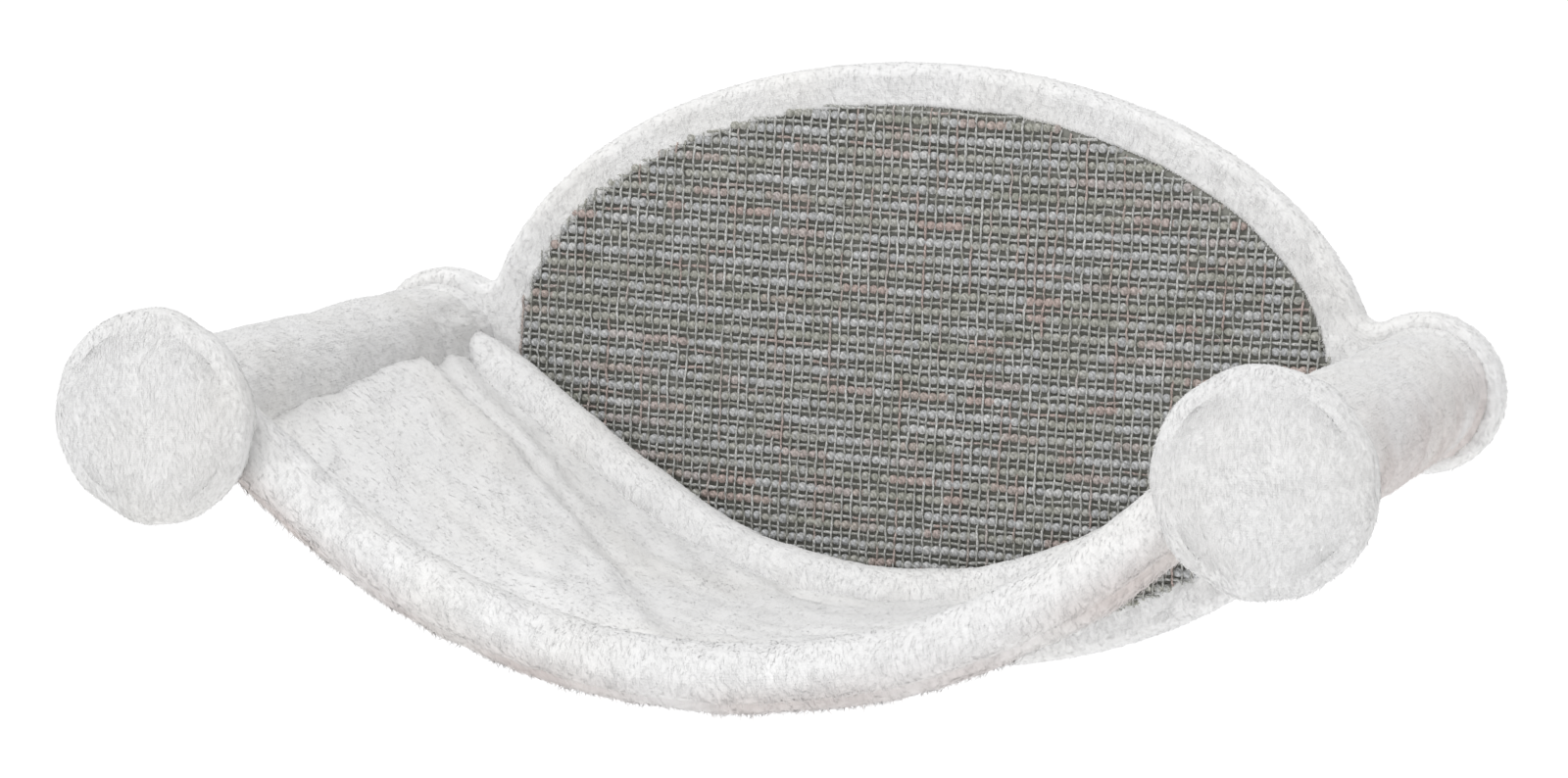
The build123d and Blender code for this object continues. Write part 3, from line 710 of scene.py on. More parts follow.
# A closed ring from the rear roll to the front roll and back, carried across the hang.
# The top ring's upper side is the hang plus its lift. The under ring lies below it.
def bedSurface(isTop):
    back, front = bedHigh[1] + bed["edgeReach"], bedLow[1] - bed["edgeReach"]
    spacing = bed["topSpacing"] if isTop else bed["underSpacing"]
    rows = int(2 * postX * bed["lengthShare"] / spacing)
    along, shown = thereAndBack(int((back - front) / spacing), bed["hiddenPoints"])
    share = np.linspace(-1, 1, rows)[:, None]
    sag = hang["rearSag"] + (hang["frontSag"] - hang["rearSag"]) * along
    arcShare = hang["rearArcShare"] + (hang["frontArcShare"] - hang["rearArcShare"]) * along
    x, z, lean = hangLine(share, sag, arcShare)
    y = back + (front - back) * along + 0 * share
    place = np.stack([x, y, z], -1)
    edge = 1 - smoothStep(np.minimum(along, 1 - along), 0.0, bed["edgeShare"])
    if isTop:
        outer = bed["topLift"] - pileDepth + bedLift(share, along, place) - bed["topEdgeFall"] * edge
        inner = bed["underLift"] * bed["insideShares"][0]
    else:
        swell = bed["underSwell"] * waves(place, 30 * mm, 55)
        outer = bed["underLift"] + pileDepth * 0.8 + swell + bed["underEdgeRise"] * edge
        inner = bed["underLift"] * bed["insideShares"][1]
    lift = np.where(shown > 0, outer, inner)
    grid = np.stack([x - lift * np.sin(lean), y, z + lift * np.cos(lean) + postZ], -1)
    return grid, np.broadcast_to(shown, grid.shape[:2])


bedPile = {**basePile, "length": 0.6 * mm, "nap": (0.9, -0.4, 0.0), "swirl": 0.4, "swirlPitch": 40 * mm,
           "hairShare": 0.28, "hairReach": 3.8 * mm, "hairRise": 0.8 * mm, "hairWidth": 0.42 * mm}
bedGrid, bedShown = bedSurface(True)
bedPlush = plushPiece("bedPlush", bedGrid, bedPile, 61, bedShown)
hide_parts("bed_top_cloth", "bed_wadding")
underGrid, underShown = bedSurface(False)
bedUnder = plushPiece("bedUnderPlush", underGrid, bedPile, 62, underShown)
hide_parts("bed_under_cloth")
print("sling made")


# Sleeves over the posts. Angles go up from the right, in radians.
sleeve = {
    "spacing": 1.14 * mm,
    "swell": 0.85 * mm,
    "swellPitch": 42 * mm,
    "swellStretch": (1, 0.6, 1),
    "fineSwell": 0.2 * mm,
    "fineSwellPitch": 15 * mm,
    "wallEnd": 1.5 * mm,
    "hemAt": 9.0 * mm,
    "hemWander": 2.0 * mm,
    "fineHemWander": 1.0 * mm,
    "hemDepth": 1.3 * mm,
    "hemWidth": 2.6 * mm,
    "hemShares": (0.6, 0.4),  # how deep the hem is, and how much that varies round the post
    "pleats": 17,
    "pleatDepth": 0.25 * mm,
    "pleatReach": 22 * mm,
    "pleatBunch": 0.5,
    "pleatTwist": 6,
    "flare": 1.0 * mm,
    "flareReach": 5 * mm,
    "endFall": 2.2 * mm,
    "endReach": 1.6 * mm,
    # angle, millimetres from the wall, depth, angle wide and length of each dent
    "dents": [(-0.9, 34, 1.6, 0.22, 22), (0.15, 26, 1.2, 0.16, 15), (0.75, 30, 1.2, 0.20, 12),
              (1.5, 22, 1.0, 0.25, 8), (-0.3, 90, 1.0, 0.3, 30), (2.4, 40, 1.2, 0.2, 20),
              (3.4, 30, 1.4, 0.2, 14), (0.1, 52, 1.5, 0.8, 6), (-0.2, 76, 1.2, 0.7, 7),
              (0.2, 104, 1.0, 0.7, 9)],
    "warmShadePitch": 38 * mm,
    # turn of the painted warm shade from straight down, its two edges and its strength, by side
    "warmShades": {-1: (0.0, 0.2, 1.0, 0.5), 1: (0.35, -0.75, 0.6, 1.0)},
}
sleevePile = {**basePile, "nap": (0.0, 0.9, -0.5), "tuftShare": 0.2, "tuftPitch": 8 * mm, "swirlPitch": 35 * mm,
              "hairShare": 0.34, "hairRise": 0.9 * mm, "hairShade": 0.06, "hairHang": 0.3}


# A tube round the post's axis. Its radius is varied by slow swells, by a hem groove near
# the wall end, depth * exp(-(distance / width) ** 2), by pleats that fade from the hem,
# and by dents of the same bell form.
def sleeveSurface(side, seed):
    radius = sleeveRadius - pileDepth
    back, front = sleeveHigh[1] + sleeve["wallEnd"], sleeveLow[1]
    rows = int((back - front) / sleeve["spacing"])
    columns = int(2 * np.pi * radius / sleeve["spacing"])
    y = np.linspace(back, front, rows)[:, None]
    angle = fullTurn(columns)[None, :]
    place = np.stack([np.cos(angle) * radius + 0 * y, y + 0 * angle, np.sin(angle) * radius + 0 * y], -1)
    swell = (sleeve["swell"] * waves(place * sleeve["swellStretch"], sleeve["swellPitch"], seed) +
             sleeve["fineSwell"] * waves(place, sleeve["fineSwellPitch"], seed + 1))
    fromWall = back - y
    hemAt = (sleeve["hemAt"] + sleeve["hemWander"] * np.sin(angle * 2 + seed) +
             sleeve["fineHemWander"] * np.sin(angle * 5 + 1.7 * seed))
    deep = sleeve["hemShares"][0] + sleeve["hemShares"][1] * np.sin(angle + seed)
    groove = sleeve["hemDepth"] * deep * bell(fromWall - hemAt, sleeve["hemWidth"])
    turn = angle + sleeve["pleatBunch"] * np.sin(2 * angle + seed) + fromWall * sleeve["pleatTwist"]
    pleats = sleeve["pleatDepth"] * np.sin(sleeve["pleats"] * turn) * np.exp(-fromWall / sleeve["pleatReach"])
    ends = sleeve["endFall"] * np.exp(-(y - front) / sleeve["endReach"])
    flare = sleeve["flare"] * bell(fromWall, sleeve["flareReach"])
    dents = 0
    for turnAt, wallAt, depth, wide, long in sleeve["dents"]:
        off = wrapped(angle - turnAt) / wide
        dents = dents + depth * mm * np.exp(-off ** 2 - ((fromWall - wallAt * mm) / (long * mm)) ** 2)
    r = radius + swell - groove + pleats * deep - ends + flare - dents
    # Painted warm shade on the sleeve's underside, patchy along it
    warmShadeTurn, low, high, strength = sleeve["warmShades"][side]
    under = smoothStep(-np.sin(angle - warmShadeTurn), low, high) * strength
    warmShade = under * patchyWarmShade(place, sleeve["warmShadePitch"], seed + 4)
    return np.stack([side * postX + r * np.cos(angle), y + 0 * angle, postZ + r * np.sin(angle)], -1), warmShade


for sideName, side, seed in (("left", -1, 81), ("right", 1, 91)):
    sleeveGrid, sleeveWarmShade = sleeveSurface(side, seed)
    sleevePlush = plushPiece(sideName + "SleevePlush", sleeveGrid, sleevePile, seed, warmShade=sleeveWarmShade)
    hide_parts(sideName + "_sleeve")


# End discs
disc = {
    "spacing": 0.95 * mm,
    "round": 6.5 * mm,
    "fullness": 3.6,
    "dimple": 0.22 * mm,
    "rimInset": 0.9 * mm,
    "backInset": 0.6 * mm,
    "backRoundShare": 0.6,
    "roundSteps": 10,
    "wavePitch": 26 * mm,
    "rimWave": 0.016,
}
discPile = {**basePile, "nap": (0.15, 0.0, -0.9), "tuftShare": 0.15, "tuftPitch": 10 * mm,
            "swirlPitch": 32 * mm, "hairReach": 3.0 * mm, "hairShade": 0.04, "hairOwn": 0.15}


# A square grid pulled into a round one, x = a * sqrt(1 - b * b / 2), for the front and the
# back, with rings between them round the rim. The front is a pillow, round * (1 - (1 -
# (r / radius) ** fullness) ** (1 / fullness)) deep, and dimpled.
def discSurface(side, seed):
    radius = discRadius - disc["rimInset"]
    front, back = discLow[1] + pileDepth, discHigh[1] - disc["backInset"]
    corner, backCorner = disc["round"], disc["round"] * disc["backRoundShare"]
    size = int(2 * (radius - corner) / disc["spacing"]) // 2 * 2 + 1
    a, b = np.meshgrid(np.linspace(-1, 1, size), np.linspace(-1, 1, size), indexing="ij")
    face = np.stack([a * np.sqrt(1 - b * b / 2), b * np.sqrt(1 - a * a / 2)], -1).reshape(-1, 2)
    number = np.arange(size * size).reshape(size, size)
    rim = np.concatenate([number[0, :-1], number[:-1, -1], number[-1, :0:-1], number[:0:-1, 0]])
    bend = np.linspace(0, np.pi / 2, disc["roundSteps"] + 1)[1:]
    reach = np.concatenate([radius - corner + corner * np.sin(bend),
                            radius - backCorner + backCorner * np.cos(bend)])[:-1]
    depth = np.concatenate([np.full(len(bend), front + corner),
                            back - backCorner + backCorner * np.sin(bend)])[:-1]
    rings = np.concatenate([unit(face[rim])[None] * reach[:, None, None],
                            np.repeat(depth, len(rim)).reshape(-1, len(rim), 1)], -1)
    frontPlate = np.column_stack([face * (radius - corner), np.full(len(face), front)])
    backPlate = np.column_stack([face * (radius - backCorner), np.full(len(face), back)])
    points = np.vstack([frontPlate, rings.reshape(-1, 3), backPlate])
    cell = np.stack([number[:-1, :-1], number[:-1, 1:], number[1:, 1:], number[1:, :-1]], -1).reshape(-1, 4)
    backFrom = len(face) + len(reach) * len(rim)
    loops = np.vstack([rim, np.arange(len(face), backFrom).reshape(len(reach), -1), backFrom + rim])
    after = np.roll(loops, -1, 1)
    around = np.stack([loops[1:], after[1:], after[:-1], loops[:-1]], -1).reshape(-1, 4)
    quads = np.vstack([cell, around, cell[:, ::-1] + backFrom])

    # Its own map: both plates side by side, with the rim's band above them
    flat = (np.stack([a, b], -1).reshape(-1, 2) + 1) / 2 * 0.48 + 0.005
    i, j = np.meshgrid(np.arange(len(loops) - 1), np.arange(len(rim)), indexing="ij")
    band = [np.stack([(j + dj) / len(rim), 0.5 + 0.49 * (i + di) / len(loops)], -1)
            for di, dj in quadSteps[::-1]]
    places = np.vstack([flat[cell], np.stack(band, -2).reshape(-1, 4, 2), flat[cell[:, ::-1]] + [0.5, 0]])

    r = np.hypot(points[:, 0], points[:, 1])
    power = disc["fullness"]
    pillow = front + corner * (1 - (1 - np.clip(r / radius, 0, 1) ** power) ** (1 / power))
    place = np.column_stack([points[:, 0], points[:, 1], 0 * r])
    pillow += disc["dimple"] * waves(place, disc["wavePitch"], seed) * (1 - r / radius)
    y = np.where(points[:, 2] <= front + corner, pillow, points[:, 2])
    grow = 1 + disc["rimWave"] * waves(place, disc["wavePitch"], seed + 1) * smoothStep(r, 0, radius)
    points = np.column_stack([side * postX + points[:, 0] * grow, y, postZ + points[:, 1] * grow])
    return points, quads, places


for sideName, side, seed in (("left", -1, 111), ("right", 1, 121)):
    discPlush = tuftedPiece(sideName + "DiscPlush", *discSurface(side, seed), discPile, seed)
    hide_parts(sideName + "_disc_cover")
print("posts made")


# Plush round the board
board = {
    "spacing": 1.3 * mm,
    "neckRound": 6.0 * mm,
    "edgeRound": 5.0 * mm,
    "hemWidth": 15.0 * mm,
    "hemLift": 0.9 * mm,
    "overMat": 1.9 * mm,
    "earBand": 22.0 * mm,
    "neckReach": 25.0 * mm,
}
boardHalfWidth = postX - 19.5 * mm
boardHalfHeight = (coverHigh[2] - coverLow[2]) / 2
earRadius = coverHigh[0] - postX
matHalfWidth = (matHigh[0] - matLow[0]) / 2
matHalfHeight = (matHigh[2] - matLow[2]) / 2


# Points at even steps round the oval with its two ears, grown by a distance. The neck
# between an oval and an ear is an arc that touches both.
def boardOutline(grow, count):
    a, b = boardHalfWidth + grow, boardHalfHeight + grow
    ear, neck = earRadius + grow, board["neckRound"] - grow
    t = np.linspace(0.02, 0.9, 4000)
    oval = np.stack([a * np.cos(t), b * np.sin(t)], 1)
    normal = unit(np.stack([b * np.cos(t), a * np.sin(t)], 1))
    centre = oval + normal * neck
    gap = np.hypot(centre[:, 0] - postX, centre[:, 1]) - (ear + neck)
    hit = np.interp(0.0, gap, t)
    touchOval = np.array([a * math.cos(hit), b * math.sin(hit)])
    middle = touchOval + unit(np.array([b * math.cos(hit), a * math.sin(hit)])) * neck
    toEar = math.atan2(middle[1], middle[0] - postX)
    earArc = np.linspace(0, toEar, 400)
    part = [np.stack([postX + ear * np.cos(earArc), ear * np.sin(earArc)], 1)]
    start = toEar + np.pi
    end = math.atan2(*(touchOval - middle)[::-1])
    sweep = wrapped(end - start)
    neckArc = start + sweep * np.linspace(0, 1, 60)[1:-1]
    part.append(middle + neck * np.stack([np.cos(neckArc), np.sin(neckArc)], 1))
    ovalArc = np.linspace(hit, np.pi / 2, 1500)
    part.append(np.stack([a * np.cos(ovalArc), b * np.sin(ovalArc)], 1))
    quarter = np.vstack(part)
    half = np.vstack([quarter, (quarter * [-1, 1])[::-1][1:]])
    whole = np.vstack([half, (half * [1, -1])[::-1][1:-1]])
    closed = np.vstack([whole, whole[:1]])
    run = np.concatenate([[0], np.cumsum(np.linalg.norm(np.diff(closed, axis=0), axis=1))])
    at = np.arange(count) / count * run[-1]
    return np.stack([np.interp(at, run, closed[:, k]) for k in range(2)], 1)


# Section carried round the outline: up out of the mat's edge, over the rim, round the
# board's edge, and over the hem to its cut edge, then back inside a cloth's thickness. The
# inner edge is where a line square to the outline meets the mat's oval, a root of
# a t * t + b t + c = 0, and earBand in from it where there is no mat.
def boardSurface():
    outer = boardOutline(-pileDepth, 800)
    length = np.linalg.norm(np.roll(outer, -1, 0) - outer, axis=1).sum()
    columns = int(length / board["spacing"])
    outer = boardOutline(-pileDepth, columns)
    tangent = unit(np.roll(outer, -1, 0) - np.roll(outer, 1, 0))
    outward = np.stack([tangent[:, 1], -tangent[:, 0]], 1)
    halves = np.array([matHalfWidth - board["overMat"], matHalfHeight - board["overMat"]])
    first = (outward ** 2 / halves ** 2).sum(1)
    second = -2 * (outer * outward / halves ** 2).sum(1)
    third = (outer ** 2 / halves ** 2).sum(1) - 1
    root = second ** 2 - 4 * first * third
    toMat = np.where(root > 0, (-second - np.sqrt(np.maximum(root, 0))) / (2 * first), 1.0)
    toMat = np.where(toMat > 0, toMat, 1.0)
    wide = board["earBand"] - np.logaddexp(0, (board["earBand"] - toMat) / (1.0 * mm)) * 1.0 * mm
    kernel = np.ones(9) / 9
    wide = np.convolve(np.concatenate([wide[-4:], wide, wide[:4]]), kernel, "valid")
    window = outer - outward * wide[:, None]
    front = coverLow[1] + pileDepth
    corner, backCorner = board["edgeRound"], board["edgeRound"] * 0.8
    across = np.linspace(0, 1, int(19 * mm / board["spacing"]))
    rim, hem = outer - outward * corner, outer - outward * backCorner
    cutEdge = hem - outward * (board["hemWidth"] - corner)
    sections, covers = [], []

    # One loop round the board: a flat outline at depth y, with its share of pile
    def addRow(plane, y, cover):
        sections.append(np.stack([plane[:, 0], np.full(columns, y), plane[:, 1]], 1))
        covers.append(np.full(columns, cover))

    addRow(window + (rim - window) * 0.03, front + 2.4 * mm, 0.6)
    addRow(window, front + 1.6 * mm, 0.9)
    for share in across:
        lip = 1.1 * mm * math.exp(-share / 0.05)
        addRow(window + (rim - window) * share, front + lip, 1.0)
    for bend in np.linspace(0, np.pi / 2, 7)[1:]:
        addRow(rim + outward * corner * math.sin(bend), front + corner * (1 - math.cos(bend)), 1.0)
    for y in np.linspace(front + corner, -backCorner, 4)[1:]:
        addRow(outer, y, 1.0)
    for bend in np.linspace(0, np.pi / 2, 5)[1:]:
        y = -backCorner * (1 - math.sin(bend)) - board["hemLift"] * math.sin(bend)
        addRow(outer - outward * backCorner * (1 - math.cos(bend)), y, 0.35)
    for step in np.linspace(0, 1, 9)[1:]:
        addRow(hem + (cutEdge - hem) * step, -board["hemLift"], 0.2)
    addRow(cutEdge, -1.45 * mm, 0.02)
    addRow(hem, -2.7 * mm, 0.02)
    addRow(outer - outward * 2.2 * mm, -8 * mm, 0.02)
    addRow(rim, front + 2.2 * mm, 0.02)
    grid = np.stack(sections)
    cover = np.stack(covers)
    wobble = 0.35 * mm * waves(grid, 28 * mm, 131) + 0.2 * mm * waves(grid, 11 * mm, 132)
    grid[..., 1] -= wobble * (cover > 0.5)
    grid[..., 2] += postZ
    return grid, cover


boardGrid, boardCover = boardSurface()
boardPile = {**basePile, "length": 0.6 * mm, "nap": (0.0, 0.0, -0.8), "tuftPitch": 8 * mm, "hairShare": 0.30,
             "hairReach": 3.3 * mm, "hairRise": 0.85 * mm, "hairSpread": 0.5}
boardPlush = plushPiece("boardPlush", boardGrid, boardPile, 141, boardCover, wrapRows=True)
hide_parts("board_cover")


# A small closed patch between the mat's end and a post, lying on the board's front: rows
# up the board, and each runs from the mat's oval to the post and back beneath.
def neckSurface(side):
    reach = board["neckReach"]
    z = np.linspace(-reach, reach, int(2 * reach / board["spacing"]))[:, None]
    share, top = thereAndBack(int(34 * mm / board["spacing"]), 6)
    ovalShare = np.sqrt(1 - (z / (matHalfHeight - board["overMat"])) ** 2)
    inner = (matHalfWidth - board["overMat"] - 1.2 * mm) * ovalShare
    x = inner + (postX - 8 * mm - inner) * share
    place = np.stack([x, 0 * x, z + 0 * x], -1)
    fall = 1.6 * mm * (np.exp(-share / 0.03) + np.exp(-(reach - np.abs(z)) / (2 * mm)))
    shown = 0.25 * mm * waves(place, 14 * mm, 171) + fall
    y = coverLow[1] + pileDepth - 0.3 * mm + np.where(top > 0, shown, 3.5 * mm)
    return np.stack([side * x, y, postZ + z + 0 * x], -1), top + 0 * z


for sideName, side, seed in (("left", -1, 172), ("right", 1, 173)):
    neckGrid, neckTop = neckSurface(side)
    neckPlush = plushPiece(sideName + "NeckPlush", neckGrid, boardPile, seed, neckTop)
print("board made")


# Woven sisal mat: fat weft, thin weft and warp, as separate yarns
mat = {
    "pairPitch": 7.56 * mm,
    "warpPitch": 4.23 * mm,
    "beadRadius": 2.15 * mm,
    "pinch": 0.50,
    "rungRadius": 0.62 * mm,
    "warpRadius": 0.50 * mm,
    "turn": math.radians(-1.7),
    "bow": 0.012,
    "face": 0.35 * mm,
    "inset": 0.5 * mm,
    "ragged": 1.6 * mm,  # how much shorter a yarn may be
    "rustRuns": (2, 6),  # in beads
    "rustStrength": (0.4, 1.0),
    "rustOdds": 0.14,
    "warpRustOdds": 0.16,
}


# Sisal yarn: grey and green-grey shades along each yarn, with some rust stretches, and painted shade in the
# furrows of the ply.
def yarnMaterial(name, look):
    material, tree, shader = newMaterial(name)
    shade = addNode(tree, "ShaderNodeAttribute", attribute_name="shade")
    rust = addNode(tree, "ShaderNodeAttribute", attribute_name="rust")
    body = rampFrom(tree, shade.outputs["Fac"], look["shades"])
    accented = mixColours(tree, rust.outputs["Fac"], body.outputs[0], look["rust"])
    fibre = noiseFrom(tree, 1100.0, 3.0, (1.0, 1.0, 0.6))
    dark = rampFrom(tree, fibre.outputs["Fac"], [(0.34, look["fibreDark"]), (0.66, look["fibreLight"])])
    place = addNode(tree, "ShaderNodeTexCoord")
    waveValues = {"Scale": look["plyScale"], "Distortion": 3.0, "Detail": 2.0, "Detail Scale": 1.5}
    ply = addNode(tree, "ShaderNodeTexWave", waveValues, {"Vector": place.outputs["Object"]},
                  wave_type="BANDS", bands_direction="DIAGONAL")
    # Painted shade: the colour darkens in the ply's furrows, where the bump is low
    furrow = rampFrom(tree, ply.outputs["Fac"], [(0.1, look["furrow"]), (0.6, (1, 1, 1))])
    grained = mixColours(tree, 1.0, accented, dark.outputs[0], "MULTIPLY")
    colour = mixColours(tree, 0.8, grained, furrow.outputs[0], "MULTIPLY")
    tree.links.new(colour, shader.inputs["Base Color"])
    bump = addNode(tree, "ShaderNodeBump", {"Strength": 0.7, "Distance": 0.5 * mm},
                   {"Height": ply.outputs["Fac"]})
    tree.links.new(bump.outputs[0], shader.inputs["Normal"])
    shader.inputs["Roughness"].default_value = 0.75
    shader.inputs["Specular IOR Level"].default_value = 0.3
    return material


yarnLook = {
    "shades": [(0.0, (0.42, 0.425, 0.38)), (0.35, (0.525, 0.52, 0.485)), (0.6, (0.555, 0.565, 0.59)),
               (1.0, (0.69, 0.69, 0.70))],
    "rust": (0.56, 0.455, 0.43),
    "fibreDark": (0.62, 0.62, 0.60),
    "fibreLight": (1.2, 1.2, 1.18),
    "furrow": (0.76, 0.76, 0.75),
    "plyScale": 190.0,
}
thinLook = {
    "shades": [(0.0, (0.46, 0.46, 0.42)), (0.5, (0.59, 0.595, 0.59)), (1.0, (0.78, 0.78, 0.78))],
    "rust": (0.60, 0.485, 0.46),
    "fibreDark": (0.65, 0.65, 0.63),
    "fibreLight": (1.15, 1.15, 1.13),
    "furrow": (0.75, 0.75, 0.73),
    "plyScale": 260.0,
}
fatYarn = yarnMaterial("fatYarn", yarnLook)
thinYarn = yarnMaterial("thinYarn", thinLook)


# Tubes round many lines at once. lines is (yarn, point, 3) and radii (yarn, point): a ring
# at each point, its first arm along the mat's normal and its second square to the line.
def yarns(name, lines, radii, sides, shade, rust, material):
    count, length = lines.shape[:2]
    tangent = unit(np.gradient(lines, axis=1))
    normal = np.array([0.0, -1.0, 0.0])
    normal = unit(normal - tangent * (tangent @ normal)[..., None])
    sideways = np.cross(tangent, normal)
    angle = fullTurn(sides)[:, None]
    ring = normal[:, :, None] * np.cos(angle) + sideways[:, :, None] * np.sin(angle)
    points = (lines[:, :, None] + ring * radii[:, :, None, None]).reshape(-1, 3)
    i, j, k = np.meshgrid(np.arange(count), np.arange(length - 1), np.arange(sides), indexing="ij")
    base = (i * length + j) * sides
    after = (k + 1) % sides
    quads = np.stack([base + k, base + after, base + sides + after, base + sides + k], -1).reshape(-1, 4)
    corners = np.stack([np.stack([(j + dj) / length, (i + (k + dk) / sides * 0.9) / count], -1)
                        for dj, dk in quadSteps], -2).reshape(-1, 4, 2)
    rings = np.arange(count * length * sides).reshape(count, length, sides)
    caps = [rings[:, 0, ::-1], rings[:, -1]]
    capPlaces = [np.full((count, sides, 2), 0.999)] * 2
    faceSets, placeSets = facingOut(points, [quads, *caps], [corners, *capPlaces])
    shades = {"shade": np.repeat(shade.ravel(), sides), "rust": np.repeat(rust.ravel(), sides)}
    newPiece(name, points, faceSets, material, placeSets, shades)
    print(name, "yarns", count, "faces", len(quads))


# From places on the mat to the frame: bowed a little, turned, and set on the board.
def ontoMat(s, t, height):
    t = t + mat["bow"] * (s ** 2) / matHalfWidth - mat["bow"] * matHalfWidth * 0.3
    c, d = math.cos(mat["turn"]), math.sin(mat["turn"])
    return np.stack([s * c - t * d, matLow[1] - height, postZ + s * d + t * c], -1)


# More than 0 on random stretches of each yarn and 0 elsewhere.
def stretches(rng, count, steps, odds):
    marks = np.zeros((count, steps))
    for i in range(count):
        at = 0
        while at < steps:
            run = int(rng.integers(*mat["rustRuns"]))
            if rng.random() < odds:
                marks[i, at:at + run] = rng.uniform(*mat["rustStrength"])
            at += run
    return marks


# Fat weft rows that swell into a bead between the warps, a thin rung between each two rows,
# and thin warps that pass over the rungs and mostly sink between the beads.
def weave():
    rng = np.random.default_rng(151)
    pairs = int(2 * matHalfHeight / mat["pairPitch"])
    beadsAt = (np.arange(pairs) - (pairs - 1) / 2) * mat["pairPitch"]
    rungsAt = (np.arange(pairs + 1) - pairs / 2) * mat["pairPitch"]
    warps = int(2 * matHalfWidth / mat["warpPitch"])
    warpsAt = (np.arange(warps) - (warps - 1) / 2) * mat["warpPitch"]

    # Places along yarns that lie across the oval at given heights, each to its ragged ends
    def spread(at, half, otherHalf, steps):
        chord = otherHalf * np.sqrt(np.clip(1 - (at / half) ** 2, 0.012, 1))
        chord = chord - mat["inset"] - rng.uniform(0, mat["ragged"], len(at))
        return np.linspace(-1, 1, steps)[None, :] * chord[:, None]

    # A smooth random field along the yarns, with a spread from yarn to yarn
    def field(along, across, apart, pitch, seed):
        return waves(np.stack([along, apart * across[:, None] + 0 * along, 0 * along], -1), pitch, seed)

    # The rust stretches of each yarn, at its points
    def rustOn(along, half, pitch, odds):
        marks = stretches(rng, len(along), int(2 * half / pitch) + 2, odds)
        cell = np.clip(((along + half) / pitch).astype(int), 0, marks.shape[1] - 1)
        return np.take_along_axis(marks, cell, 1)

    # 0 at a yarn's ends and 1 from the reach inwards
    def endShare(along, reach):
        return smoothStep(np.abs(along[:, -1:]) - np.abs(along), 0.0, reach)

    # A wave along the yarns, with a crest at each yarn that crosses them
    def beat(along, pitch, number):
        return np.cos(2 * np.pi * (along / pitch + 0.5 * (number % 2 == 0) + 0.5))

    s = spread(beadsAt, matHalfHeight, matHalfWidth, warps * 5)
    swelling = (1 + beat(s, mat["warpPitch"], warps)) / 2
    narrow = 1 - np.sqrt(swelling)
    uneven = field(s, beadsAt, 1.0, 7 * mm, 152)
    radii = mat["beadRadius"] * (1 - mat["pinch"] * narrow + 0.09 * uneven)
    t = beadsAt[:, None] + 0.30 * mm * field(s, beadsAt, 3.0, 13 * mm, 153)
    height = mat["face"] - mat["beadRadius"] - 0.3 * mm * (1 - swelling) + 0.12 * mm * uneven
    rust = rustOn(s, matHalfWidth, mat["warpPitch"], mat["rustOdds"])
    # Random tone along the yarn, with painted shade where the bead pinches in at the warps and painted light
    # where it swells fatter and higher
    shade = np.clip(0.55 + 0.30 * field(s * 0.6, beadsAt, 9.0, 26 * mm, 154) + 0.16 * uneven +
                    rng.normal(0, 0.06, (len(beadsAt), 1)) - 0.4 * narrow, 0, 1)
    radii *= 0.45 + 0.55 * endShare(s, 3.5 * mm)
    height -= 2.2 * mm * (1 - endShare(s, 4 * mm))
    yarns("matFatWeft", ontoMat(s, t, height), radii, 7, shade, rust, fatYarn)

    s = spread(rungsAt, matHalfHeight, matHalfWidth, warps * 4)
    swelling = (1 + beat(s, mat["warpPitch"], warps)) / 2
    uneven = field(s, rungsAt, 1.0, 6 * mm, 161)
    t = rungsAt[:, None] + 0.32 * mm * field(s, rungsAt, 5.0, 11 * mm, 155)
    height = -1.35 * mm + 0.35 * mm * swelling + 0.15 * mm * uneven
    # Random tone, with painted light where the rung is thicker and higher
    shade = np.clip(0.45 + 0.3 * field(s, rungsAt, 7.0, 20 * mm, 156) + 0.1 * uneven, 0, 1)
    rust = rustOn(s, matHalfWidth, mat["warpPitch"], mat["rustOdds"])
    height -= 1.0 * mm * (1 - endShare(s, 3 * mm))
    radii = mat["rungRadius"] * (1 + 0.22 * uneven)
    yarns("matThinWeft", ontoMat(s, t, height), radii, 5, shade, rust, thinYarn)

    t = spread(warpsAt, matHalfWidth, matHalfHeight, pairs * 7)
    overRung = beat(t, mat["pairPitch"], pairs)
    s = warpsAt[:, None] + 0.35 * mm * field(t, warpsAt, 4.0, 9 * mm, 157)
    proud = smoothStep(field(t, warpsAt, 11.0, 13 * mm, 162), 0.25, 0.6)
    height = -0.85 * mm + 0.5 * mm * overRung + proud * 0.55 * mm * (1 - overRung)
    # Random tone, with painted light where a warp stands proud
    shade = np.clip(0.42 + 0.38 * field(t, warpsAt, 6.0, 16 * mm, 158) + 0.3 * proud, 0, 1)
    rust = rustOn(t, matHalfHeight, mat["pairPitch"], mat["warpRustOdds"])
    radii = mat["warpRadius"] * (1 + 0.25 * field(t, warpsAt, 8.0, 5 * mm, 159))
    height -= 1.2 * mm * (1 - endShare(t, 3 * mm))
    yarns("matWarp", ontoMat(s, t, height), radii, 5, shade, rust, thinYarn)

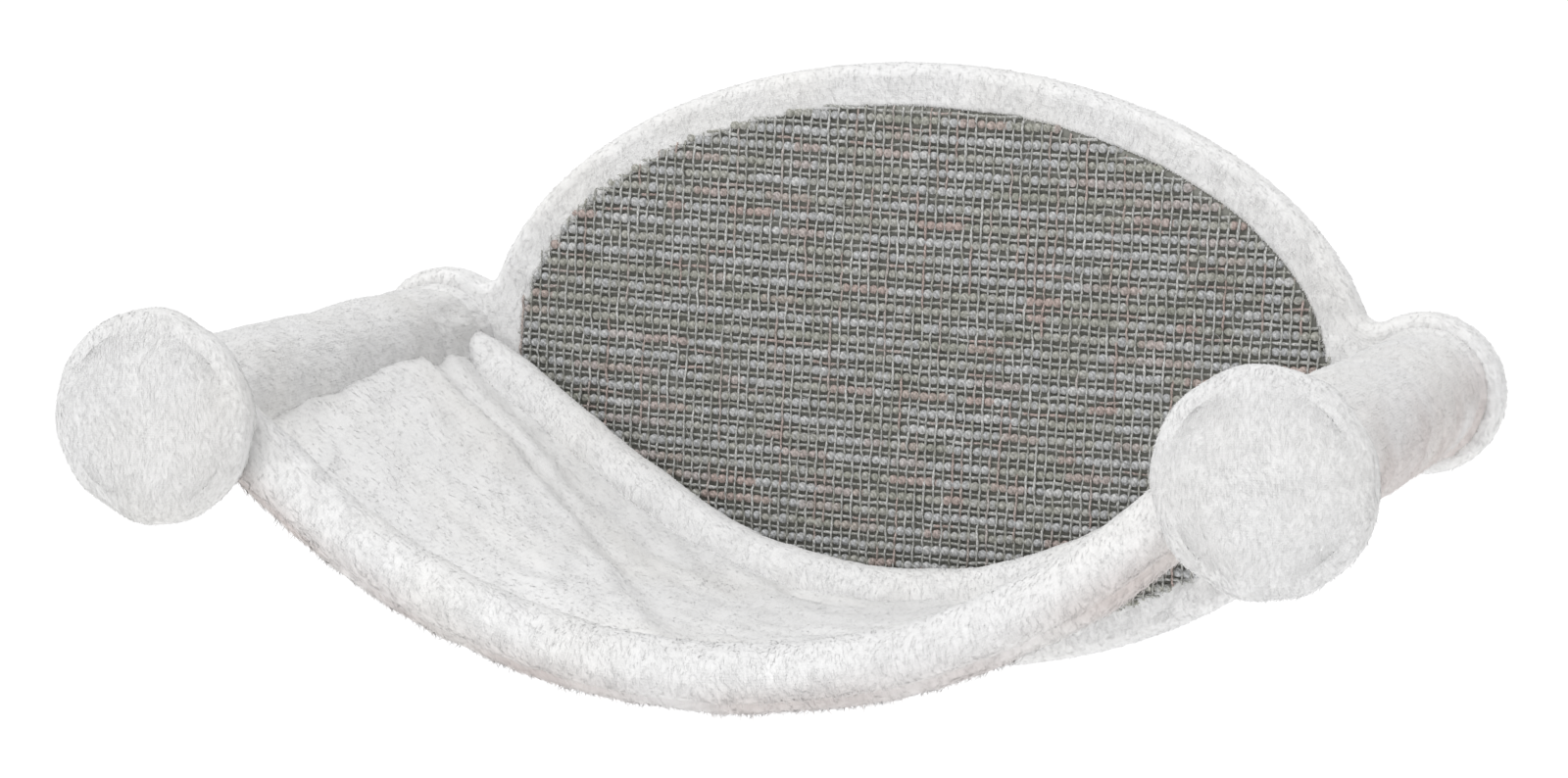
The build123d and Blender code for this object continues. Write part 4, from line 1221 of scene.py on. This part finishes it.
    # A few loose hairs of sisal that stand off the mat, each curved in its own plane
    number, steps = 90, 9
    turn, size = rng.uniform(0, 2 * np.pi, number), np.sqrt(rng.uniform(0, 0.85, number))
    run = np.linspace(-0.5, 0.5, steps)[None, :]
    heading = rng.uniform(0, np.pi, number)[:, None] + rng.normal(0, 1.0, (number, 1)) * run
    long = rng.uniform(4, 11, number)[:, None] * mm
    s = (size * np.cos(turn) * matHalfWidth)[:, None] + long * run * np.cos(heading)
    t = (size * np.sin(turn) * matHalfHeight)[:, None] + long * run * np.sin(heading)
    height = rng.uniform(0.2, 1.3, (number, 1)) * mm * (1 - 3.4 * run ** 2) + 0.1 * mm
    yarns("matLooseFibres", ontoMat(s, t, height), np.full(s.shape, 0.11 * mm), 3, np.full(s.shape, 0.95),
          np.zeros(s.shape), thinYarn)


weave()


# A dark oval plate under the yarns, whose colour paints the shade seen through the weave's holes: rings from
# the middle of its front to the rim, and back on its back.
def shadowPlateSurface(columns=180, rings=12, hubShare=0.02):
    angle = fullTurn(columns)[None, :]
    outwards = np.linspace(hubShare, 1, rings)
    share = np.concatenate([outwards, outwards[::-1]])[:, None]
    y = np.repeat([matLow[1] + 2.6 * mm, matHigh[1] - 0.05 * mm], rings)[:, None]
    return np.stack([share * matHalfWidth * np.cos(angle), y + 0 * angle,
                     postZ + share * matHalfHeight * np.sin(angle)], -1)


matShadow = cardMaterial("matShadow", (0.32, 0.32, 0.29), (0.20, 0.20, 0.18))
shadowPlateGrid = shadowPlateSurface()
shadowPlatePoints, shadowPlateFans = withPoles(shadowPlateGrid)
shadowPlateFaces = facingOut(shadowPlatePoints, [gridQuads(*shadowPlateGrid.shape[:2])[0], *shadowPlateFans])[0]
shadowPlate = newPiece("matShadowPlate", shadowPlatePoints, shadowPlateFaces, matShadow)
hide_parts("scratch_mat")
print("mat made")


# Floor, light and camera
studio = {
    "floorDrop": 0.32,
    "floorSize": 60.0,
    "floorColour": (0.93, 0.93, 0.93),
    "floorGlow": 0.18,
    "sky": 0.68,
    "keyStrength": 1.20,
    "keySpread": math.radians(32),
    "keyFrom": Vector((-0.27, -0.66, 1.2)),
}
floorMesh = bpy.data.meshes.new("floor")
half, low = studio["floorSize"] / 2, cadBox[0][2] - studio["floorDrop"]
floorCorners = [(x * half, y * half, low) for x, y in ((-1, -1), (1, -1), (1, 1), (-1, 1))]
floorMesh.from_pydata(floorCorners, [], [(0, 1, 2, 3)])
floor = bpy.data.objects.new("floor", floorMesh)
bpy.context.scene.collection.objects.link(floor)
floorMaterial, _, floorShader = newMaterial("floorWhite")
floorShader.inputs["Base Color"].default_value = (*studio["floorColour"], 1)
floorShader.inputs["Roughness"].default_value = 1.0
floorShader.inputs["Specular IOR Level"].default_value = 0.0
floorShader.inputs["Emission Color"].default_value = (1, 1, 1, 1)
floorShader.inputs["Emission Strength"].default_value = studio["floorGlow"]
floorMesh.materials.append(floorMaterial)

world = bpy.data.worlds.new("softSky")
bpy.context.scene.world = world
world.use_nodes = True
world.node_tree.nodes["Background"].inputs[0].default_value = (1, 1, 1, 1)
world.node_tree.nodes["Background"].inputs[1].default_value = studio["sky"]

keyData = bpy.data.lights.new("key", "SUN")
keyData.energy = studio["keyStrength"]
keyData.angle = studio["keySpread"]
key = bpy.data.objects.new("key", keyData)
key.rotation_euler = studio["keyFrom"].to_track_quat("Z", "Y").to_euler()
bpy.context.scene.collection.objects.link(key)

# The camera, fitted to the photograph
view = {
    "place": Vector((0.59925, -1.83065, 0.18331)),
    "right": Vector((0.9395285, 0.34236288, 0.00859404)),
    "up": Vector((-0.05122982, 0.1156869, 0.99196373)),
    "lens": 100.475,
    "sensor": 36.0,
}
cameraData = bpy.data.cameras.new("camera")
cameraData.lens = view["lens"]
cameraData.sensor_width = view["sensor"]
cameraData.sensor_fit = "HORIZONTAL"
cameraData.clip_end = 100.0
camera = bpy.data.objects.new("camera", cameraData)
back = view["right"].cross(view["up"]).normalized()
turn = Matrix((view["right"], view["up"], back)).transposed()
camera.matrix_world = Matrix.Translation(view["place"]) @ turn.to_4x4()
bpy.context.scene.collection.objects.link(camera)
bpy.context.scene.camera = camera
bpy.context.scene.view_settings.view_transform = "Standard"
